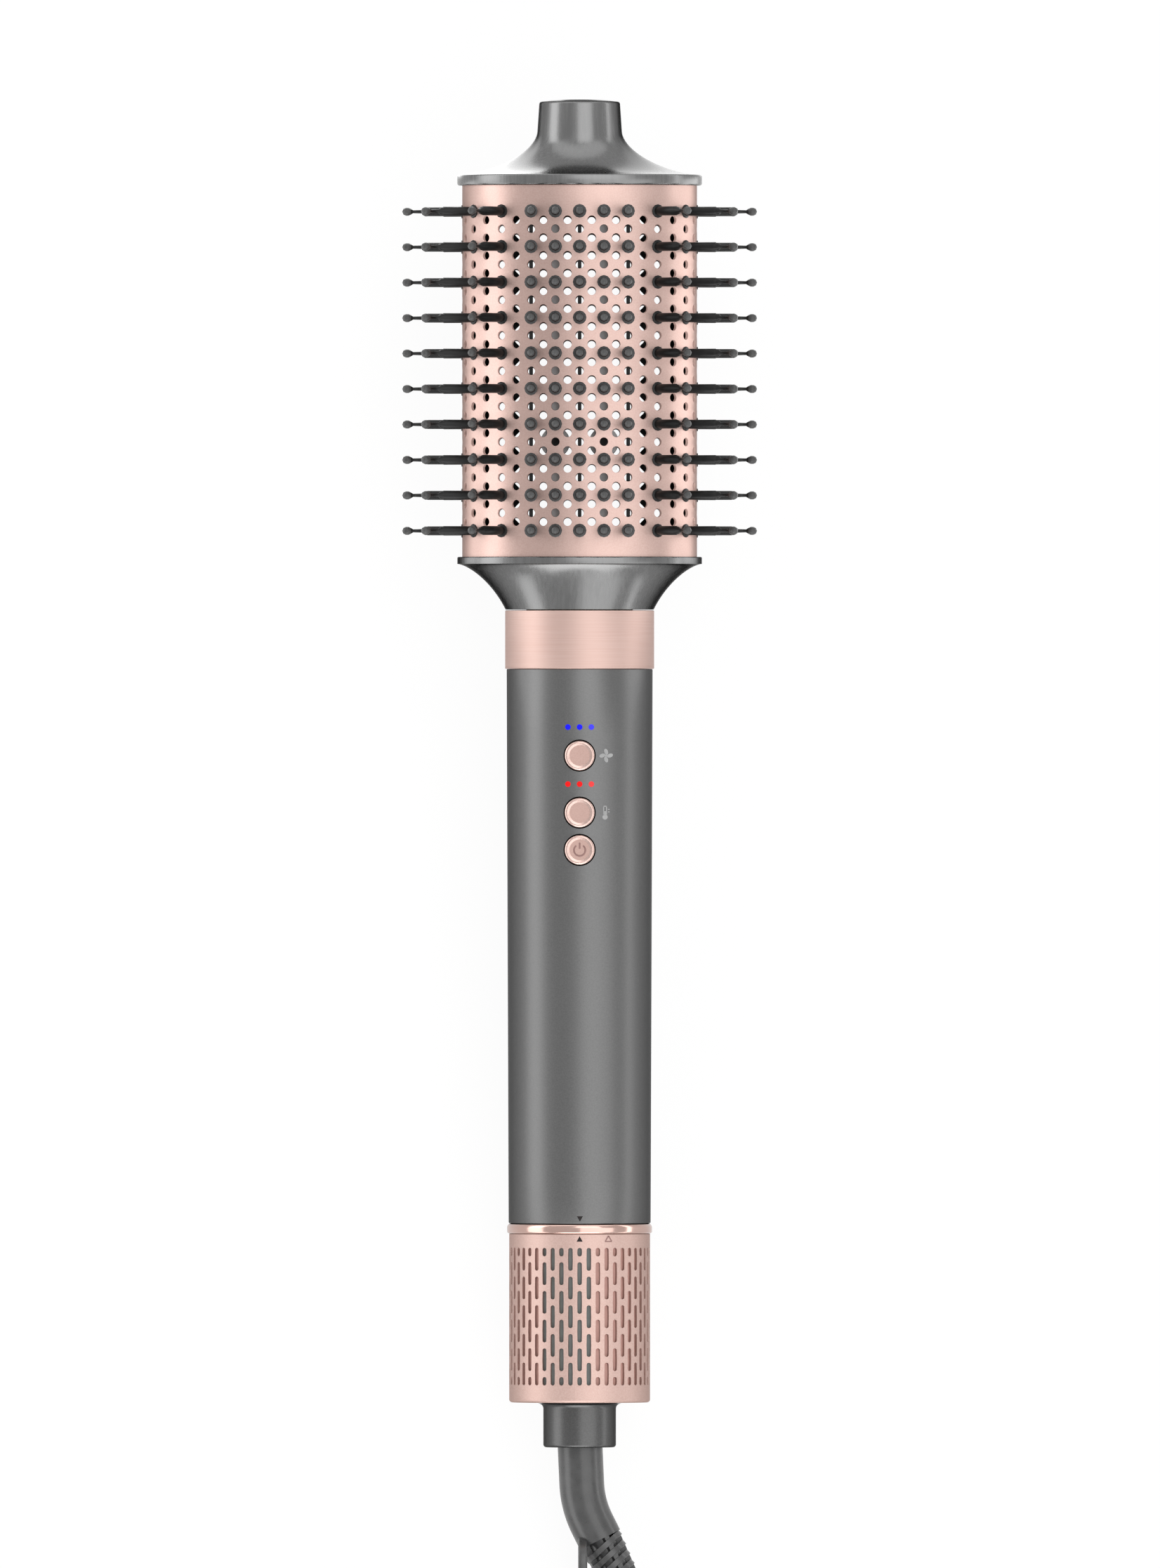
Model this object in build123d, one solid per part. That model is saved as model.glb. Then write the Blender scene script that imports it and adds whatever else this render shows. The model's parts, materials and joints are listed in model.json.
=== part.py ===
from build123d import *
import os
from math import asin, atan, atan2, ceil, cos, degrees, pi, radians, sin, sqrt, tan

# A hot-air brush for drying and styling hair. An oval perforated barrel carries 200 nylon pins, a round
# handle below it holds the fan, the heater and three push buttons, a slotted cover at the tail lets the air
# in, and the mains cord leaves through a swivel. Sizes are in millimetres.
#
# The tool is drawn along +Y, from the cord at the bottom to the tip at the top, with its buttons facing +Z.
# At the end it is laid on its back, on the pins of the row nearest the handle and on the inlet cover's edge.

# Fits and small clearances
seam = 0.2
slip = 0.1
running = 0.05
free_gap = 0.3

# Barrel and its rims
barrel_width = 64.3
barrel_depth = 45.0
barrel_length = 101.7
barrel_wall = 1.0
rim_overhang = 1.35
flare_stations = 5
spigot_depth = 3.5
spigot_wall = 1.6

# Tip cap
cap_rim_height = 3.0
cap_flare_height = 11.7
knob_height = 8.9
knob_diameter = 22.1
knob_taper = 0.55
cap_flare_power = 1.7

# Base of the head
base_rim_height = 1.9
base_flare_height = 12.5
base_flare_power = 1.5
base_flare_reach = 0.7
base_plug_depth = 8.0
base_plug_wall = 1.5

# Pins
pin_rows = 10
pin_sides = 3
row_margin = 7.15
front_columns = 5
front_pitch = 6.65
side_angles = (32, 56, 90)
pin_reach = 16.65
pin_body_reach = 9.0
pin_neck_reach = 13.7
pin_ball_reach = 15.5
pin_body_radius = 1.15
pin_body_top_radius = 1.0
pin_neck_radius = 0.5
pin_root = 0.6

# Strips that carry the pins, each with its web in a slot of the barrel and its flange under the wall
strip_width = 2.6
strip_margin = 2.3
strip_flange_width = 4.2
strip_flange = 1.3
spine_width = 1.0
spine_depth = 4.5

# Vents
vent_width = 2.1
vents_per_gap = 1

# Core frame inside the barrel
rail_width = 4.0
rail_thickness = 1.8
post_width = 3.6
boss_radius = 4.0
boss_gap_from_base = 3
screw_radius = 1.45
screw_head_radius = 2.6
screw_head_height = 1.8

# Handle
handle_length = 151.7
handle_top_diameter = 40.0
handle_bottom_diameter = 38.9
handle_bore_diameter = 34.8
neck_diameter = 37.8
ring_diameter = 40.8
ring_length = 16.1
trim_length = 2.9
trim_diameter = 39.7

# Controls
fan_button_from_top = 23.7
heat_button_pitch = 15.6
power_button_pitch = 10.2
button_diameter = 8.3
button_stand = 0.4
button_dish = 0.7
button_travel = 0.6
button_rim = 0.6
flange_extra = 0.75
flange_thickness = 0.9
guide_thickness = 1.0
guide_half_width = 8.0
stem_diameter = 3.2
switch_body = 6.0
switch_height = 2.0
plunger_height = 0.4
light_rise = 7.8
light_pitch = 3.2
light_width = 1.4
light_stand = 0.1
board_thickness = 1.6
board_edge_gap = 0.3
board_below_power = 18.0

# Fan and motor
shroud_length = 46.0
shroud_wall = 1.0
motor_diameter = 24.0
motor_length = 30.0
motor_sleeve_wall = 0.8
motor_below_shroud_top = 5.0
shaft_diameter = 2.0
shaft_depth = 9.0
impeller_hub_radius = 5.5
impeller_height = 9.0
impeller_gap = 1.5
impeller_tip_gap = 0.6
blade_count = 7
blade_thickness = 1.0
blade_twist = 35
vane_count = 5
vane_thickness = 1.4
vane_length = 9.0

# Heater
heater_radius = 14.6
heater_wall = 0.5
heater_length = 34.0
mica_thickness = 0.8
mica_end_margin = 2.5
coil_turns = 6
coil_wire = 0.8
cutout_size = (8.0, 5.0, 4.0)

# Inlet cover and the cage under it
cover_length = 46.2
cover_diameter = 38.65
cover_wall = 1.3
cover_floor = 1.4
cover_edge = 0.8
cover_twist = 24.2
slot_columns = 24
slots_per_column = 5
slot_width = 1.15
slot_length = 6.25
slot_pitch = 7.85
slot_margin = 3.85
cover_flats = 48
cage_diameter = 34.4
cage_wall = 1.6
cage_top_depth = 6.0
cage_collar_length = 4.2
cage_rib_from = -33
cage_rib_to = 11
lug_rise = 0.55
lug_span = 20
lug_height = 1.8
lug_from_top = 3.0
lug_count = 3
tail_plate_thickness = 2.0
screen_thickness = 0.6

# Swivel, boot and strain relief
tail_boss_radius = 10.4
cover_mouth_gap = 0.35
collar_top_radius = 10.75
collar_radius = 9.95
collar_length = 11.8
collar_lip_height = 1.4
collar_floor = 1.5
stem_radius = 7.0
stem_bore_radius = 5.0
stem_length = 8.6
groove_depth = 0.6
groove_height = 2.0
boot_diameter = 12.3
boot_straight = 19.0
boot_lean = 2.5
boot_bend_angle = 26.6
boot_bend_radius = 28.0
boot_end = 8.0
relief_ribs = 8
relief_rib_pitch = 4.6
relief_rib_length = 2.6
relief_end_diameter = 8.6
relief_core_share = 0.78
relief_sides = 12
loop_thickness = 2.5
loop_from = -36.0
loop_to = -64.0
loop_width = 19.0
loop_bar = 3.4
loop_side_shift = 0.85

# Mains cord, as it lies on the table
cord_diameter = 6.8
cord_sides = 6
lead_end_run = 10.0
lead_middle = ((31.4, -88.5, 10.8), (36.9, -100.3, 7.8), (41.0, -112.5, 5.0))
coil_centre = (-12.0, -142.0)
coil_layers = 2
coil_flat_turns = 3.5
coil_outer_radius = 54.0
coil_step = 7.4
coil_layer_step = 7.4
tie_thickness = 0.8
tie_width = 9.0
tie_gap = 0.6
plug_length = 62.0
plug_width = 36.0
plug_neck_length = 24.0
plug_shoulder_length = 12.0
plug_neck_diameter = 8.8
plug_pin_radius = 2.4
plug_pin_length = 19.0
plug_pin_spacing = 19.0

# Places along the tool, from the bottom of the inlet cover
cover_top = cover_length
trim_top = cover_top + trim_length
handle_top = trim_top + handle_length
ring_top = handle_top + ring_length
base_bottom = ring_top + seam
barrel_bottom = base_bottom + base_flare_height + base_rim_height
barrel_top = barrel_bottom + barrel_length
cap_flare_bottom = barrel_top + cap_rim_height
knob_bottom = cap_flare_bottom + cap_flare_height
tip = knob_bottom + knob_height
row_pitch = (barrel_length - 2 * row_margin) / (pin_rows - 1)
rows = [barrel_bottom + row_margin + row_pitch * n for n in range(pin_rows)]
fan_button_y = handle_top - fan_button_from_top
heat_button_y = fan_button_y - heat_button_pitch
power_button_y = heat_button_y - power_button_pitch
button_rows = (fan_button_y, heat_button_y, power_button_y)

# Half sizes of the oval
half_width = barrel_width / 2
half_depth = barrel_depth / 2
handle_bore = handle_bore_diameter / 2


def turned(*points):
    """A body turned about the tool's axis from an outline of (radius, place along Y)."""
    return revolve(make_face(Polyline(*points, close=True)), Axis.Y)


def level(y, x=0, z=0):
    """The plane across the tool at a place along it, facing the tip."""
    return Plane(origin=(x, y, z), x_dir=(1, 0, 0), z_dir=(0, 1, 0))


def block(x0, x1, y0, y1, z0, z1):
    """A square-edged block between two corners."""
    return Pos((x0 + x1) / 2, (y0 + y1) / 2, (z0 + z1) / 2) * Box(x1 - x0, y1 - y0, z1 - z0)


def upright(radius, z0, z1, x=0, y=0):
    """A round bar along Z."""
    return Pos(x, y, (z0 + z1) / 2) * Cylinder(radius, z1 - z0)


def ring_sector(inner, outer, low, high, start, end):
    """Part of a tube about the tool's axis, from one angle to another. Angles run from +Z towards +X."""
    tube = turned((inner, low), (outer, low), (outer, high), (inner, high))
    reach = 2 * outer
    corners = [(0, 0)]
    count = ceil(abs(end - start) / 60)
    for n in range(count + 1):
        angle = radians(start + (end - start) * n / count)
        corners.append((reach * sin(angle), reach * cos(angle)))
    return tube & prism(corners, low, high)


def prism(corners, low, high):
    """A straight block along Y over corners given as (x, z)."""
    outline = Wire.make_polygon([Vector(x, low, z) for x, z in corners], close=True)
    return Part() + extrude(Face(outline), high - low, dir=(0, 1, 0))


def stack(rings):
    """A solid of flat faces through rings of corners, one after another, closed by a flat end or a point."""
    faces = [Face(Wire.make_polygon(rings[0][::-1], close=True))]
    for low, high in zip(rings, rings[1:]):
        for n, corner in enumerate(low):
            beside = low[(n + 1) % len(low)]
            if len(high) == 1:
                faces.append(Face(Wire.make_polygon([corner, beside, high[0]], close=True)))
            else:
                across = high[(n + 1) % len(high)]
                faces.append(Face(Wire.make_polygon([corner, beside, across], close=True)))
                faces.append(Face(Wire.make_polygon([corner, across, high[n]], close=True)))
    if len(rings[-1]) > 1:
        faces.append(Face(Wire.make_polygon(rings[-1], close=True)))
    return Part() + Solid(Shell(faces))


def hollow_curve(share, power):
    """A concave quarter curve that falls from 1 to 0."""
    return 1 - (1 - (1 - share) ** power) ** (1 / power)


# The barrel's wall is laid out in flats, one for each column of pins and one for each column of vents
# between them. A column's place is its turn round the oval, from the front towards +X.

front_turns = [asin(n * front_pitch / half_width) for n in range((front_columns + 1) // 2)]
side_turns = [atan2(half_width * sin(angle), half_depth * cos(angle)) for angle in map(radians, side_angles)]
quarter = front_turns + side_turns
half_round = quarter + [pi - turn for turn in reversed(quarter[:-1])]
pin_turns = half_round[:-1] + [pi + turn for turn in half_round[:-1]]
columns = len(pin_turns)
flats = 2 * columns


def centre_turn(flat):
    """Even flats carry pins, and odd flats carry vents."""
    column, between = divmod(flat % flats, 2)
    here = pin_turns[column]
    following = pin_turns[column + 1] if column + 1 < columns else 2 * pi
    return (here + following) / 2 if between else here


def edge_turn(flat):
    """The turn of the edge between a flat and the one after it."""
    here = centre_turn(flat)
    following = centre_turn(flat + 1)
    return (here + following + (2 * pi if following < here else 0)) / 2


def on_oval(turn, inset=0):
    return (half_width - inset) * sin(turn), (half_depth - inset) * cos(turn)


def flat_plane(flat, y):
    """The plane of a flat's outer face, with its own Y along the tool."""
    x0, z0 = on_oval(edge_turn(flat - 1))
    x1, z1 = on_oval(edge_turn(flat))
    run = Vector(x1 - x0, 0, z1 - z0)
    return Plane(origin=((x0 + x1) / 2, y, (z0 + z1) / 2), x_dir=run, z_dir=run.cross(Vector(0, 1, 0)))


def section(y, wide, deep):
    """The corners of an oval section, one at each edge between two flats."""
    return [Vector(wide * sin(edge_turn(n)), y, deep * cos(edge_turn(n))) for n in range(flats)]


def oval_block(low, high, inset=0):
    return stack([section(y, half_width - inset, half_depth - inset) for y in (low, high)])


def flare(low, high, radius, power, reach=1.0):
    """A concave body that runs from the oval rim at one level to a round end at the other."""
    floor = hollow_curve(reach, power)
    rim_width = half_width + rim_overhang
    rim_depth = half_depth + rim_overhang
    rings = []
    for n in range(flare_stations):
        along = (n / (flare_stations - 1)) ** 2
        share = (hollow_curve(along * reach, power) - floor) / (1 - floor)
        wide = radius + (rim_width - radius) * share
        deep = radius + (rim_depth - radius) * share
        rings.append(section(low + (high - low) * along, wide, deep))
    return stack(rings if low < high else rings[::-1])


strip_middle = (rows[0] + rows[-1]) / 2
strip_length = rows[-1] - rows[0] + 2 * strip_margin
strip_depth = barrel_wall + slip + strip_flange


def strip_web(flat, extra=0):
    """The block that fills the slot along a column of pins."""
    size = (strip_width + 2 * extra, strip_length + 2 * extra, strip_depth + extra)
    return flat_plane(flat, strip_middle) * Pos(0, 0, extra - size[2] / 2) * Box(*size)


def barrel():
    tube = oval_block(barrel_bottom, barrel_top) - oval_block(barrel_bottom, barrel_top, barrel_wall)
    cutters = [strip_web(2 * n, slip) for n in range(columns)]
    hole = Box(vent_width, vent_width, 4 * barrel_wall)
    for column in range(columns):
        for gap in range(pin_rows - 1):
            for n in range(vents_per_gap):
                y = rows[gap] + row_pitch * (n + 0.5) / vents_per_gap
                cutters.append(flat_plane(2 * column + 1, y) * Rot(0, 0, 45) * hole)
    return tube - cutters


def pin(drop=0):
    """One pin along +Z: a stout body, a thin neck and a ball, with its root sunk in the strip."""
    outline = [
        (pin_body_radius, -drop - pin_root), (pin_body_top_radius, pin_body_reach),
        (pin_neck_radius, pin_neck_reach), (pin_body_radius, pin_ball_reach)]
    rings = []
    for radius, height in outline:
        turns = [2 * pi * n / pin_sides for n in range(pin_sides)]
        rings.append([Vector(radius * cos(turn), radius * sin(turn), height) for turn in turns])
    return stack(rings + [[Vector(0, 0, pin_reach)]])


def pin_strip(column):
    """A strip of ten pins, moulded in one piece. Its flange holds it under the barrel's wall.

    The pins of the front and the back point straight out, with their tips level. The others stand square to
    the barrel. Every other strip of the front and back has a spine that stiffens it."""
    flat = 2 * column
    middle = flat_plane(flat, strip_middle)
    under = middle * Pos(0, 0, strip_flange / 2 - strip_depth)
    pieces = [under * Box(strip_flange_width, strip_length, strip_flange)]
    place = (column + front_columns // 2) % (columns // 2)
    if place < front_columns:
        x, _, z = middle.origin
        facing = 1 if z > 0 else -1
        one = pin(half_depth - abs(z))
        root = Plane(origin=(x, 0, facing * half_depth), x_dir=(1, 0, 0), z_dir=(0, 0, facing))
        if place % 2 == 0:
            inside = middle * Pos(0, 0, slip - strip_depth - spine_depth / 2)
            pieces.append(inside * Box(spine_width, strip_length, spine_depth))
    else:
        one = pin()
        root = flat_plane(flat, 0)
    pieces += [Pos(0, y, 0) * root.location * one for y in rows]
    return strip_web(flat) + pieces


def spigot(low, high):
    """The oval collar that centres a rim in the barrel."""
    inset = barrel_wall + slip
    return oval_block(low, high, inset) - oval_block(low, high, inset + spigot_wall)


def end_cap():
    rim = oval_block(barrel_top, cap_flare_bottom, -rim_overhang)
    knob_low = knob_diameter / 2 + knob_taper
    body = flare(cap_flare_bottom, knob_bottom, knob_low, cap_flare_power)
    knob = turned((0, knob_bottom), (knob_low, knob_bottom), (knob_diameter / 2, tip - knob_taper),
                  (knob_diameter / 2 - knob_taper, tip), (0, tip))
    return rim + body + knob + spigot(barrel_top - spigot_depth, barrel_top)


def head_base():
    """The flared base of the head, hollow for the hot air, with a round plug that fits the handle."""
    rim = oval_block(barrel_bottom - base_rim_height, barrel_bottom, -rim_overhang)
    skin = ring_diameter / 2 - slip
    body = flare(barrel_bottom - base_rim_height, base_bottom, skin, base_flare_power, base_flare_reach)
    plug_radius = handle_bore - slip
    bore = plug_radius - base_plug_wall
    plug_low = base_bottom - base_plug_depth
    plug = turned((0, plug_low), (plug_radius, plug_low), (plug_radius, base_bottom), (0, base_bottom))
    inset = barrel_wall + slip + spigot_wall
    throat_low = base_bottom + seam
    throat = stack([section(throat_low, bore, bore),
                    section(barrel_bottom, half_width - inset, half_depth - inset)])
    tube = turned((0, plug_low), (bore, plug_low), (bore, throat_low), (0, throat_low))
    return rim + body + plug + spigot(barrel_bottom, barrel_bottom + spigot_depth) - tube - throat


# Core frame: two ladders back to back in the barrel, whose posts hold the strips out

core_low = barrel_bottom + free_gap
core_high = barrel_top - free_gap
post_column = front_turns[1]
post_x = half_width * sin(post_column)
boss_y = rows[boss_gap_from_base] - row_pitch / 2
post_top = abs(flat_plane(2, 0).origin.Z) - strip_depth - free_gap
screw_seat = post_top / 2


def core_half(side):
    """One ladder. side is 1 for the front one and -1 for the back one."""
    pieces = []
    for x in (-post_x, post_x):
        pieces.append(block(x - rail_width / 2, x + rail_width / 2, core_low, core_high, 0, rail_thickness))
        for gap in range(pin_rows - 1):
            y = rows[gap] + row_pitch / 2
            if abs(y - boss_y) > 1e-6:
                half = post_width / 2
                pieces.append(block(x - half, x + half, y - half, y + half, 0, post_top))
            else:
                pieces.append(upright(boss_radius, 0, post_top, x, y))
    reach = half_width - barrel_wall - slip - spigot_wall - free_gap
    for y in (core_low, core_high - rail_width / 2):
        pieces.append(block(-reach, reach, y, y + rail_width / 2, 0, rail_thickness))
    ladder = pieces[0] + pieces[1:]
    for x in (-post_x, post_x):
        shank_end = post_top + side
        ladder -= upright(screw_radius + running, -1, shank_end, x, boss_y)
        if side > 0:
            ladder -= upright(screw_head_radius + slip, screw_seat, post_top + 1, x, boss_y)
    return ladder if side > 0 else mirror(ladder, Plane.XY)


def core_screws():
    length = post_top - free_gap
    screws = []
    for x in (-post_x, post_x):
        shank = Pos(x, boss_y, screw_seat - length) * extrude(RegularPolygon(screw_radius, 8), length)
        head = Pos(x, boss_y, screw_seat) * extrude(RegularPolygon(screw_head_radius, 8), screw_head_height)
        screws.append(shank + head)
    return Part() + screws


# Handle

def handle_tube():
    top = handle_top_diameter / 2
    bottom = handle_bottom_diameter / 2
    neck = neck_diameter / 2
    tube = turned((handle_bore, trim_top), (bottom, trim_top), (top, handle_top), (neck, handle_top),
                  (neck, ring_top), (handle_bore, ring_top))
    for y in button_rows:
        tube -= upright(button_diameter / 2 + running + slip, handle_bore / 2, handle_top_diameter, 0, y)
    for rod in light_rods(fan_button_y, slip) + light_rods(heat_button_y, slip):
        tube -= rod
    return tube


def front_ring():
    outer = ring_diameter / 2
    inner = neck_diameter / 2 + slip
    return turned((inner, handle_top), (outer, handle_top), (outer, ring_top), (inner, ring_top))


def skin_height(y):
    """How far the handle's skin lies from the axis at a place along it."""
    share = (y - trim_top) / handle_length
    return (handle_bottom_diameter + (handle_top_diameter - handle_bottom_diameter) * share) / 2


flange_radius = button_diameter / 2 + flange_extra
flange_top = sqrt(handle_bore ** 2 - flange_radius ** 2) - seam
flange_bottom = flange_top - flange_thickness
guide_top = flange_bottom - button_travel - free_gap
guide_bottom = guide_top - guide_thickness
stem_bottom = guide_bottom - free_gap
plunger_top = stem_bottom - button_travel - free_gap
board_top = plunger_top - plunger_height - switch_height
board_bottom = board_top - board_thickness


def button(y):
    """A round cap with a dished top and a raised rim, on a flange that the handle's wall holds in."""
    radius = button_diameter / 2
    top = skin_height(y) + button_stand
    lip = radius - button_rim
    stem = stem_diameter / 2
    outline = Polyline((0, stem_bottom), (stem, stem_bottom), (stem, flange_bottom),
                       (flange_radius, flange_bottom), (flange_radius, flange_top), (radius, flange_top),
                       (radius, top), (lip, top), (0, top - button_dish), close=True)
    return Pos(0, y, 0) * revolve(Plane.XZ * make_face(outline), Axis.Z)


def button_guide():
    """The plate under the buttons, with a hole for each stem and each light."""
    low = power_button_y - flange_radius - guide_thickness
    high = fan_button_y + light_rise + 3 * guide_thickness
    plate = block(-guide_half_width, guide_half_width, low, high, guide_bottom, guide_top)
    for y in button_rows:
        plate -= upright(stem_diameter / 2 + slip, guide_bottom - 1, guide_top + 1, 0, y)
    for rod in light_rods(fan_button_y, slip) + light_rods(heat_button_y, slip):
        plate -= rod
    return plate


def light_rods(button_y, extra=0):
    """Three light guides above a button, from the board to the handle's skin."""
    y = button_y + light_rise
    width = light_width + 2 * extra
    top = skin_height(y) + light_stand + 10 * extra
    return [block(x - width / 2, x + width / 2, y - width / 2, y + width / 2, board_top - 10 * extra, top)
            for x in (-light_pitch, 0, light_pitch)]


def control_board():
    high = sleeve_low - seam
    low = power_button_y - board_below_power
    reach = sqrt((handle_bore - board_edge_gap) ** 2 - board_top ** 2)
    return block(-reach, reach, low, high, board_bottom, board_top)


def switches():
    half = switch_body / 2
    bodies = []
    for y in button_rows:
        body = block(-half, half, y - half, y + half, board_top, board_top + switch_height)
        bodies.append(body + upright(stem_diameter / 3, board_top + switch_height, plunger_top, 0, y))
    return Part() + bodies


# Fan, motor and heater

cage_outer = cage_diameter / 2
shroud_low = trim_top + cage_top_depth + seam
shroud_top = shroud_low + shroud_length
shroud_outer = handle_bore - slip
shroud_inner = shroud_outer - shroud_wall
motor_top = shroud_top - motor_below_shroud_top
motor_low = motor_top - motor_length
motor_radius = motor_diameter / 2
impeller_top = motor_low - impeller_gap


def fan_shroud():
    """The duct round the fan, with straight vanes that carry the motor in its sleeve."""
    tube = turned((shroud_inner, shroud_low), (shroud_outer, shroud_low),
                  (shroud_outer, shroud_top), (shroud_inner, shroud_top))
    hub = motor_radius + motor_sleeve_wall + running
    low = motor_low + motor_length / 3
    ring = turned((hub, low), (hub + shroud_wall, low), (hub + shroud_wall, low + vane_length),
                  (hub, low + vane_length))
    half = vane_thickness / 2
    vane = block(-half, half, low, low + vane_length, hub + shroud_wall / 2, shroud_inner + shroud_wall / 2)
    vanes = [Rot(0, 360 * n / vane_count, 0) * vane for n in range(vane_count)]
    return tube + ring + vanes


def motor():
    bore = shaft_diameter / 2 + running
    depth = motor_low + shaft_depth + free_gap
    return turned((bore, motor_low), (motor_radius, motor_low), (motor_radius, motor_top), (0, motor_top),
                  (0, depth), (bore, depth))


def motor_sleeve():
    inner = motor_radius
    outer = motor_radius + motor_sleeve_wall
    low = motor_low + motor_length / 4
    high = motor_top - motor_length / 8
    return turned((inner, low), (outer, low), (outer, high), (inner, high))


def impeller():
    """The fan with its shaft, which turns in the motor."""
    shaft = shaft_diameter / 2
    low = impeller_top - impeller_height
    shaft_end = motor_low + shaft_depth
    rotor = turned((0, low), (impeller_hub_radius, low), (impeller_hub_radius, impeller_top),
                   (shaft, impeller_top), (shaft, shaft_end), (0, shaft_end))
    reach = shroud_inner - impeller_tip_gap
    span = impeller_height * 0.8
    half = blade_thickness / 2
    flat = block(-half, half, -span / 2, span / 2, impeller_hub_radius * 0.8, 1.1 * reach)
    blade = Pos(0, (low + impeller_top) / 2, 0) * Rot(0, 0, blade_twist) * flat
    rotor += [Rot(0, 360 * n / blade_count, 0) * blade for n in range(blade_count)]
    swept = turned((0, low), (reach, low), (reach, impeller_top), (shaft, impeller_top), (shaft, shaft_end),
                   (0, shaft_end))
    return rotor & swept


sleeve_high = barrel_bottom - base_rim_height
sleeve_low = sleeve_high - heater_length


def heater_sleeve():
    """The mica tube that keeps the heat off the handle. Its flange seats in the handle's bore."""
    inner = heater_radius - heater_wall
    flange = handle_bore - slip
    flange_high = sleeve_low + 2 * heater_wall
    return turned((inner, sleeve_low), (flange, sleeve_low), (flange, flange_high),
                  (heater_radius, flange_high), (heater_radius, sleeve_high), (inner, sleeve_high))


former_low = sleeve_low + mica_end_margin
former_high = sleeve_high - mica_end_margin
wire_reach = heater_radius - heater_wall - free_gap - coil_wire


def heater_former():
    """Two crossed mica boards. Each is notched half way so that they slide together."""
    half = mica_thickness / 2
    reach = wire_reach - coil_wire - half
    end_reach = heater_radius - heater_wall - slip
    board = block(-reach, reach, former_low, former_high, -half, half)
    for low in (former_low, former_high - mica_end_margin):
        board += block(-end_reach, end_reach, low, low + mica_end_margin, -half, half)
    return board + Rot(0, 90, 0) * board


def heater_coil():
    """Flat wire in straight runs from board edge to board edge."""
    low = former_low + 2 * mica_end_margin
    high = former_high - 2 * mica_end_margin
    steps = 4 * coil_turns
    points = []
    for n in range(steps + 1):
        angle = n * pi / 2
        points.append((wire_reach * sin(angle), low + (high - low) * n / steps, wire_reach * cos(angle)))
    path = Polyline(*points)
    wire = Plane(origin=path @ 0, z_dir=path % 0) * Rectangle(coil_wire, coil_wire)
    return sweep(wire, path=path, transition=Transition.RIGHT)


def thermal_cutout():
    wide, long, deep = cutout_size
    return block(-wide / 2, wide / 2, former_low - long, former_low, -deep / 2, deep / 2)


# Tail

cover_inner = cover_diameter / 2 - cover_wall
lug_top = cover_top - lug_from_top
slot_top = cover_top - slot_margin
plate_low = cover_floor + free_gap


def trim_ring():
    outer = trim_diameter / 2
    inner = cage_outer + slip
    low = cover_top + seam
    edge = trim_length / 4
    return turned((inner, low), (outer - edge, low), (outer, (low + trim_top) / 2), (outer - edge, trim_top),
                  (inner, trim_top))


def cup_ring(radius, y):
    """The corners of the cover at one level. It has one flat for each column of slots."""
    turns = [2 * pi * (n + 0.5) / cover_flats for n in range(cover_flats)]
    return [Vector(radius * sin(turn), y, radius * cos(turn)) for turn in turns]


def filter_cover():
    """The slotted cup over the air inlet, with nibs inside its mouth that hook under the cage's lugs."""
    outer = cover_diameter / 2
    mouth = tail_boss_radius + cover_mouth_gap
    cup = stack([cup_ring(outer - cover_edge, 0), cup_ring(outer, cover_edge), cup_ring(outer, cover_top)])
    cup -= stack([cup_ring(cover_inner, cover_floor), cup_ring(cover_inner, cover_top)])
    cup -= turned((0, 0), (mouth, 0), (mouth, cover_floor), (0, cover_floor))
    cutters = []
    for n in range(slot_columns):
        for m in range(slots_per_column):
            high = slot_top - m * slot_pitch
            slot = block(-slot_width / 2, slot_width / 2, high - slot_length, high, cage_outer, 2 * outer)
            cutters.append(Rot(0, 360 * (n + 0.5) / slot_columns, 0) * slot)
    nib_top = lug_top - lug_height - free_gap
    for n in range(lug_count):
        start = lug_start(n)
        cup += ring_sector(cage_outer + free_gap, cover_inner + cover_wall / 2, nib_top - lug_height, nib_top,
                           start, start + lug_span)
    return cup - cutters


def lug_start(n):
    return 60 + 360 * n / lug_count - lug_span / 2


def inlet_cage():
    """The fixed frame under the cover: a collar in the handle, two broad ribs and three bayonet lugs."""
    inner = cage_outer - cage_wall
    collar_low = cover_top - cage_collar_length
    collar = turned((inner, collar_low), (cage_outer, collar_low), (cage_outer, trim_top + cage_top_depth),
                    (inner, trim_top + cage_top_depth))
    plate_top = plate_low + tail_plate_thickness
    rib_span = cage_rib_to - cage_rib_from
    pieces = [ring_sector(inner, cage_outer, plate_top, collar_low, start, start + rib_span)
              for start in (cage_rib_from, cage_rib_from + 180)]
    for n in range(lug_count):
        start = lug_start(n)
        pieces.append(ring_sector(inner, cage_outer + lug_rise, lug_top - lug_height, lug_top,
                                  start, start + lug_span))
    return collar + pieces


def inlet_screen():
    """The fine mesh disc across the air's way to the fan."""
    radius = cage_outer - cage_wall - slip
    top = trim_top + screen_thickness
    return turned((0, trim_top), (radius, trim_top), (radius, top), (0, top))


collar_top = -seam - free_gap
collar_bottom = collar_top - collar_length
stem_bottom_y = collar_top - stem_length
groove_y = collar_top - stem_length / 2


def tail_plate():
    """The end plate of the cage, with the hollow stem on which the cord's collar turns."""
    top = plate_low + tail_plate_thickness
    groove = stem_radius - groove_depth
    groove_low = groove_y - groove_height / 2
    groove_high = groove_y + groove_height / 2
    return turned((stem_bore_radius, stem_bottom_y), (stem_radius, stem_bottom_y),
                  (stem_radius, groove_low), (groove, groove_low), (groove, groove_high),
                  (stem_radius, groove_high), (stem_radius, -seam), (tail_boss_radius, -seam),
                  (tail_boss_radius, plate_low), (cage_outer, plate_low), (cage_outer, top),
                  (stem_bore_radius, top))


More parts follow.
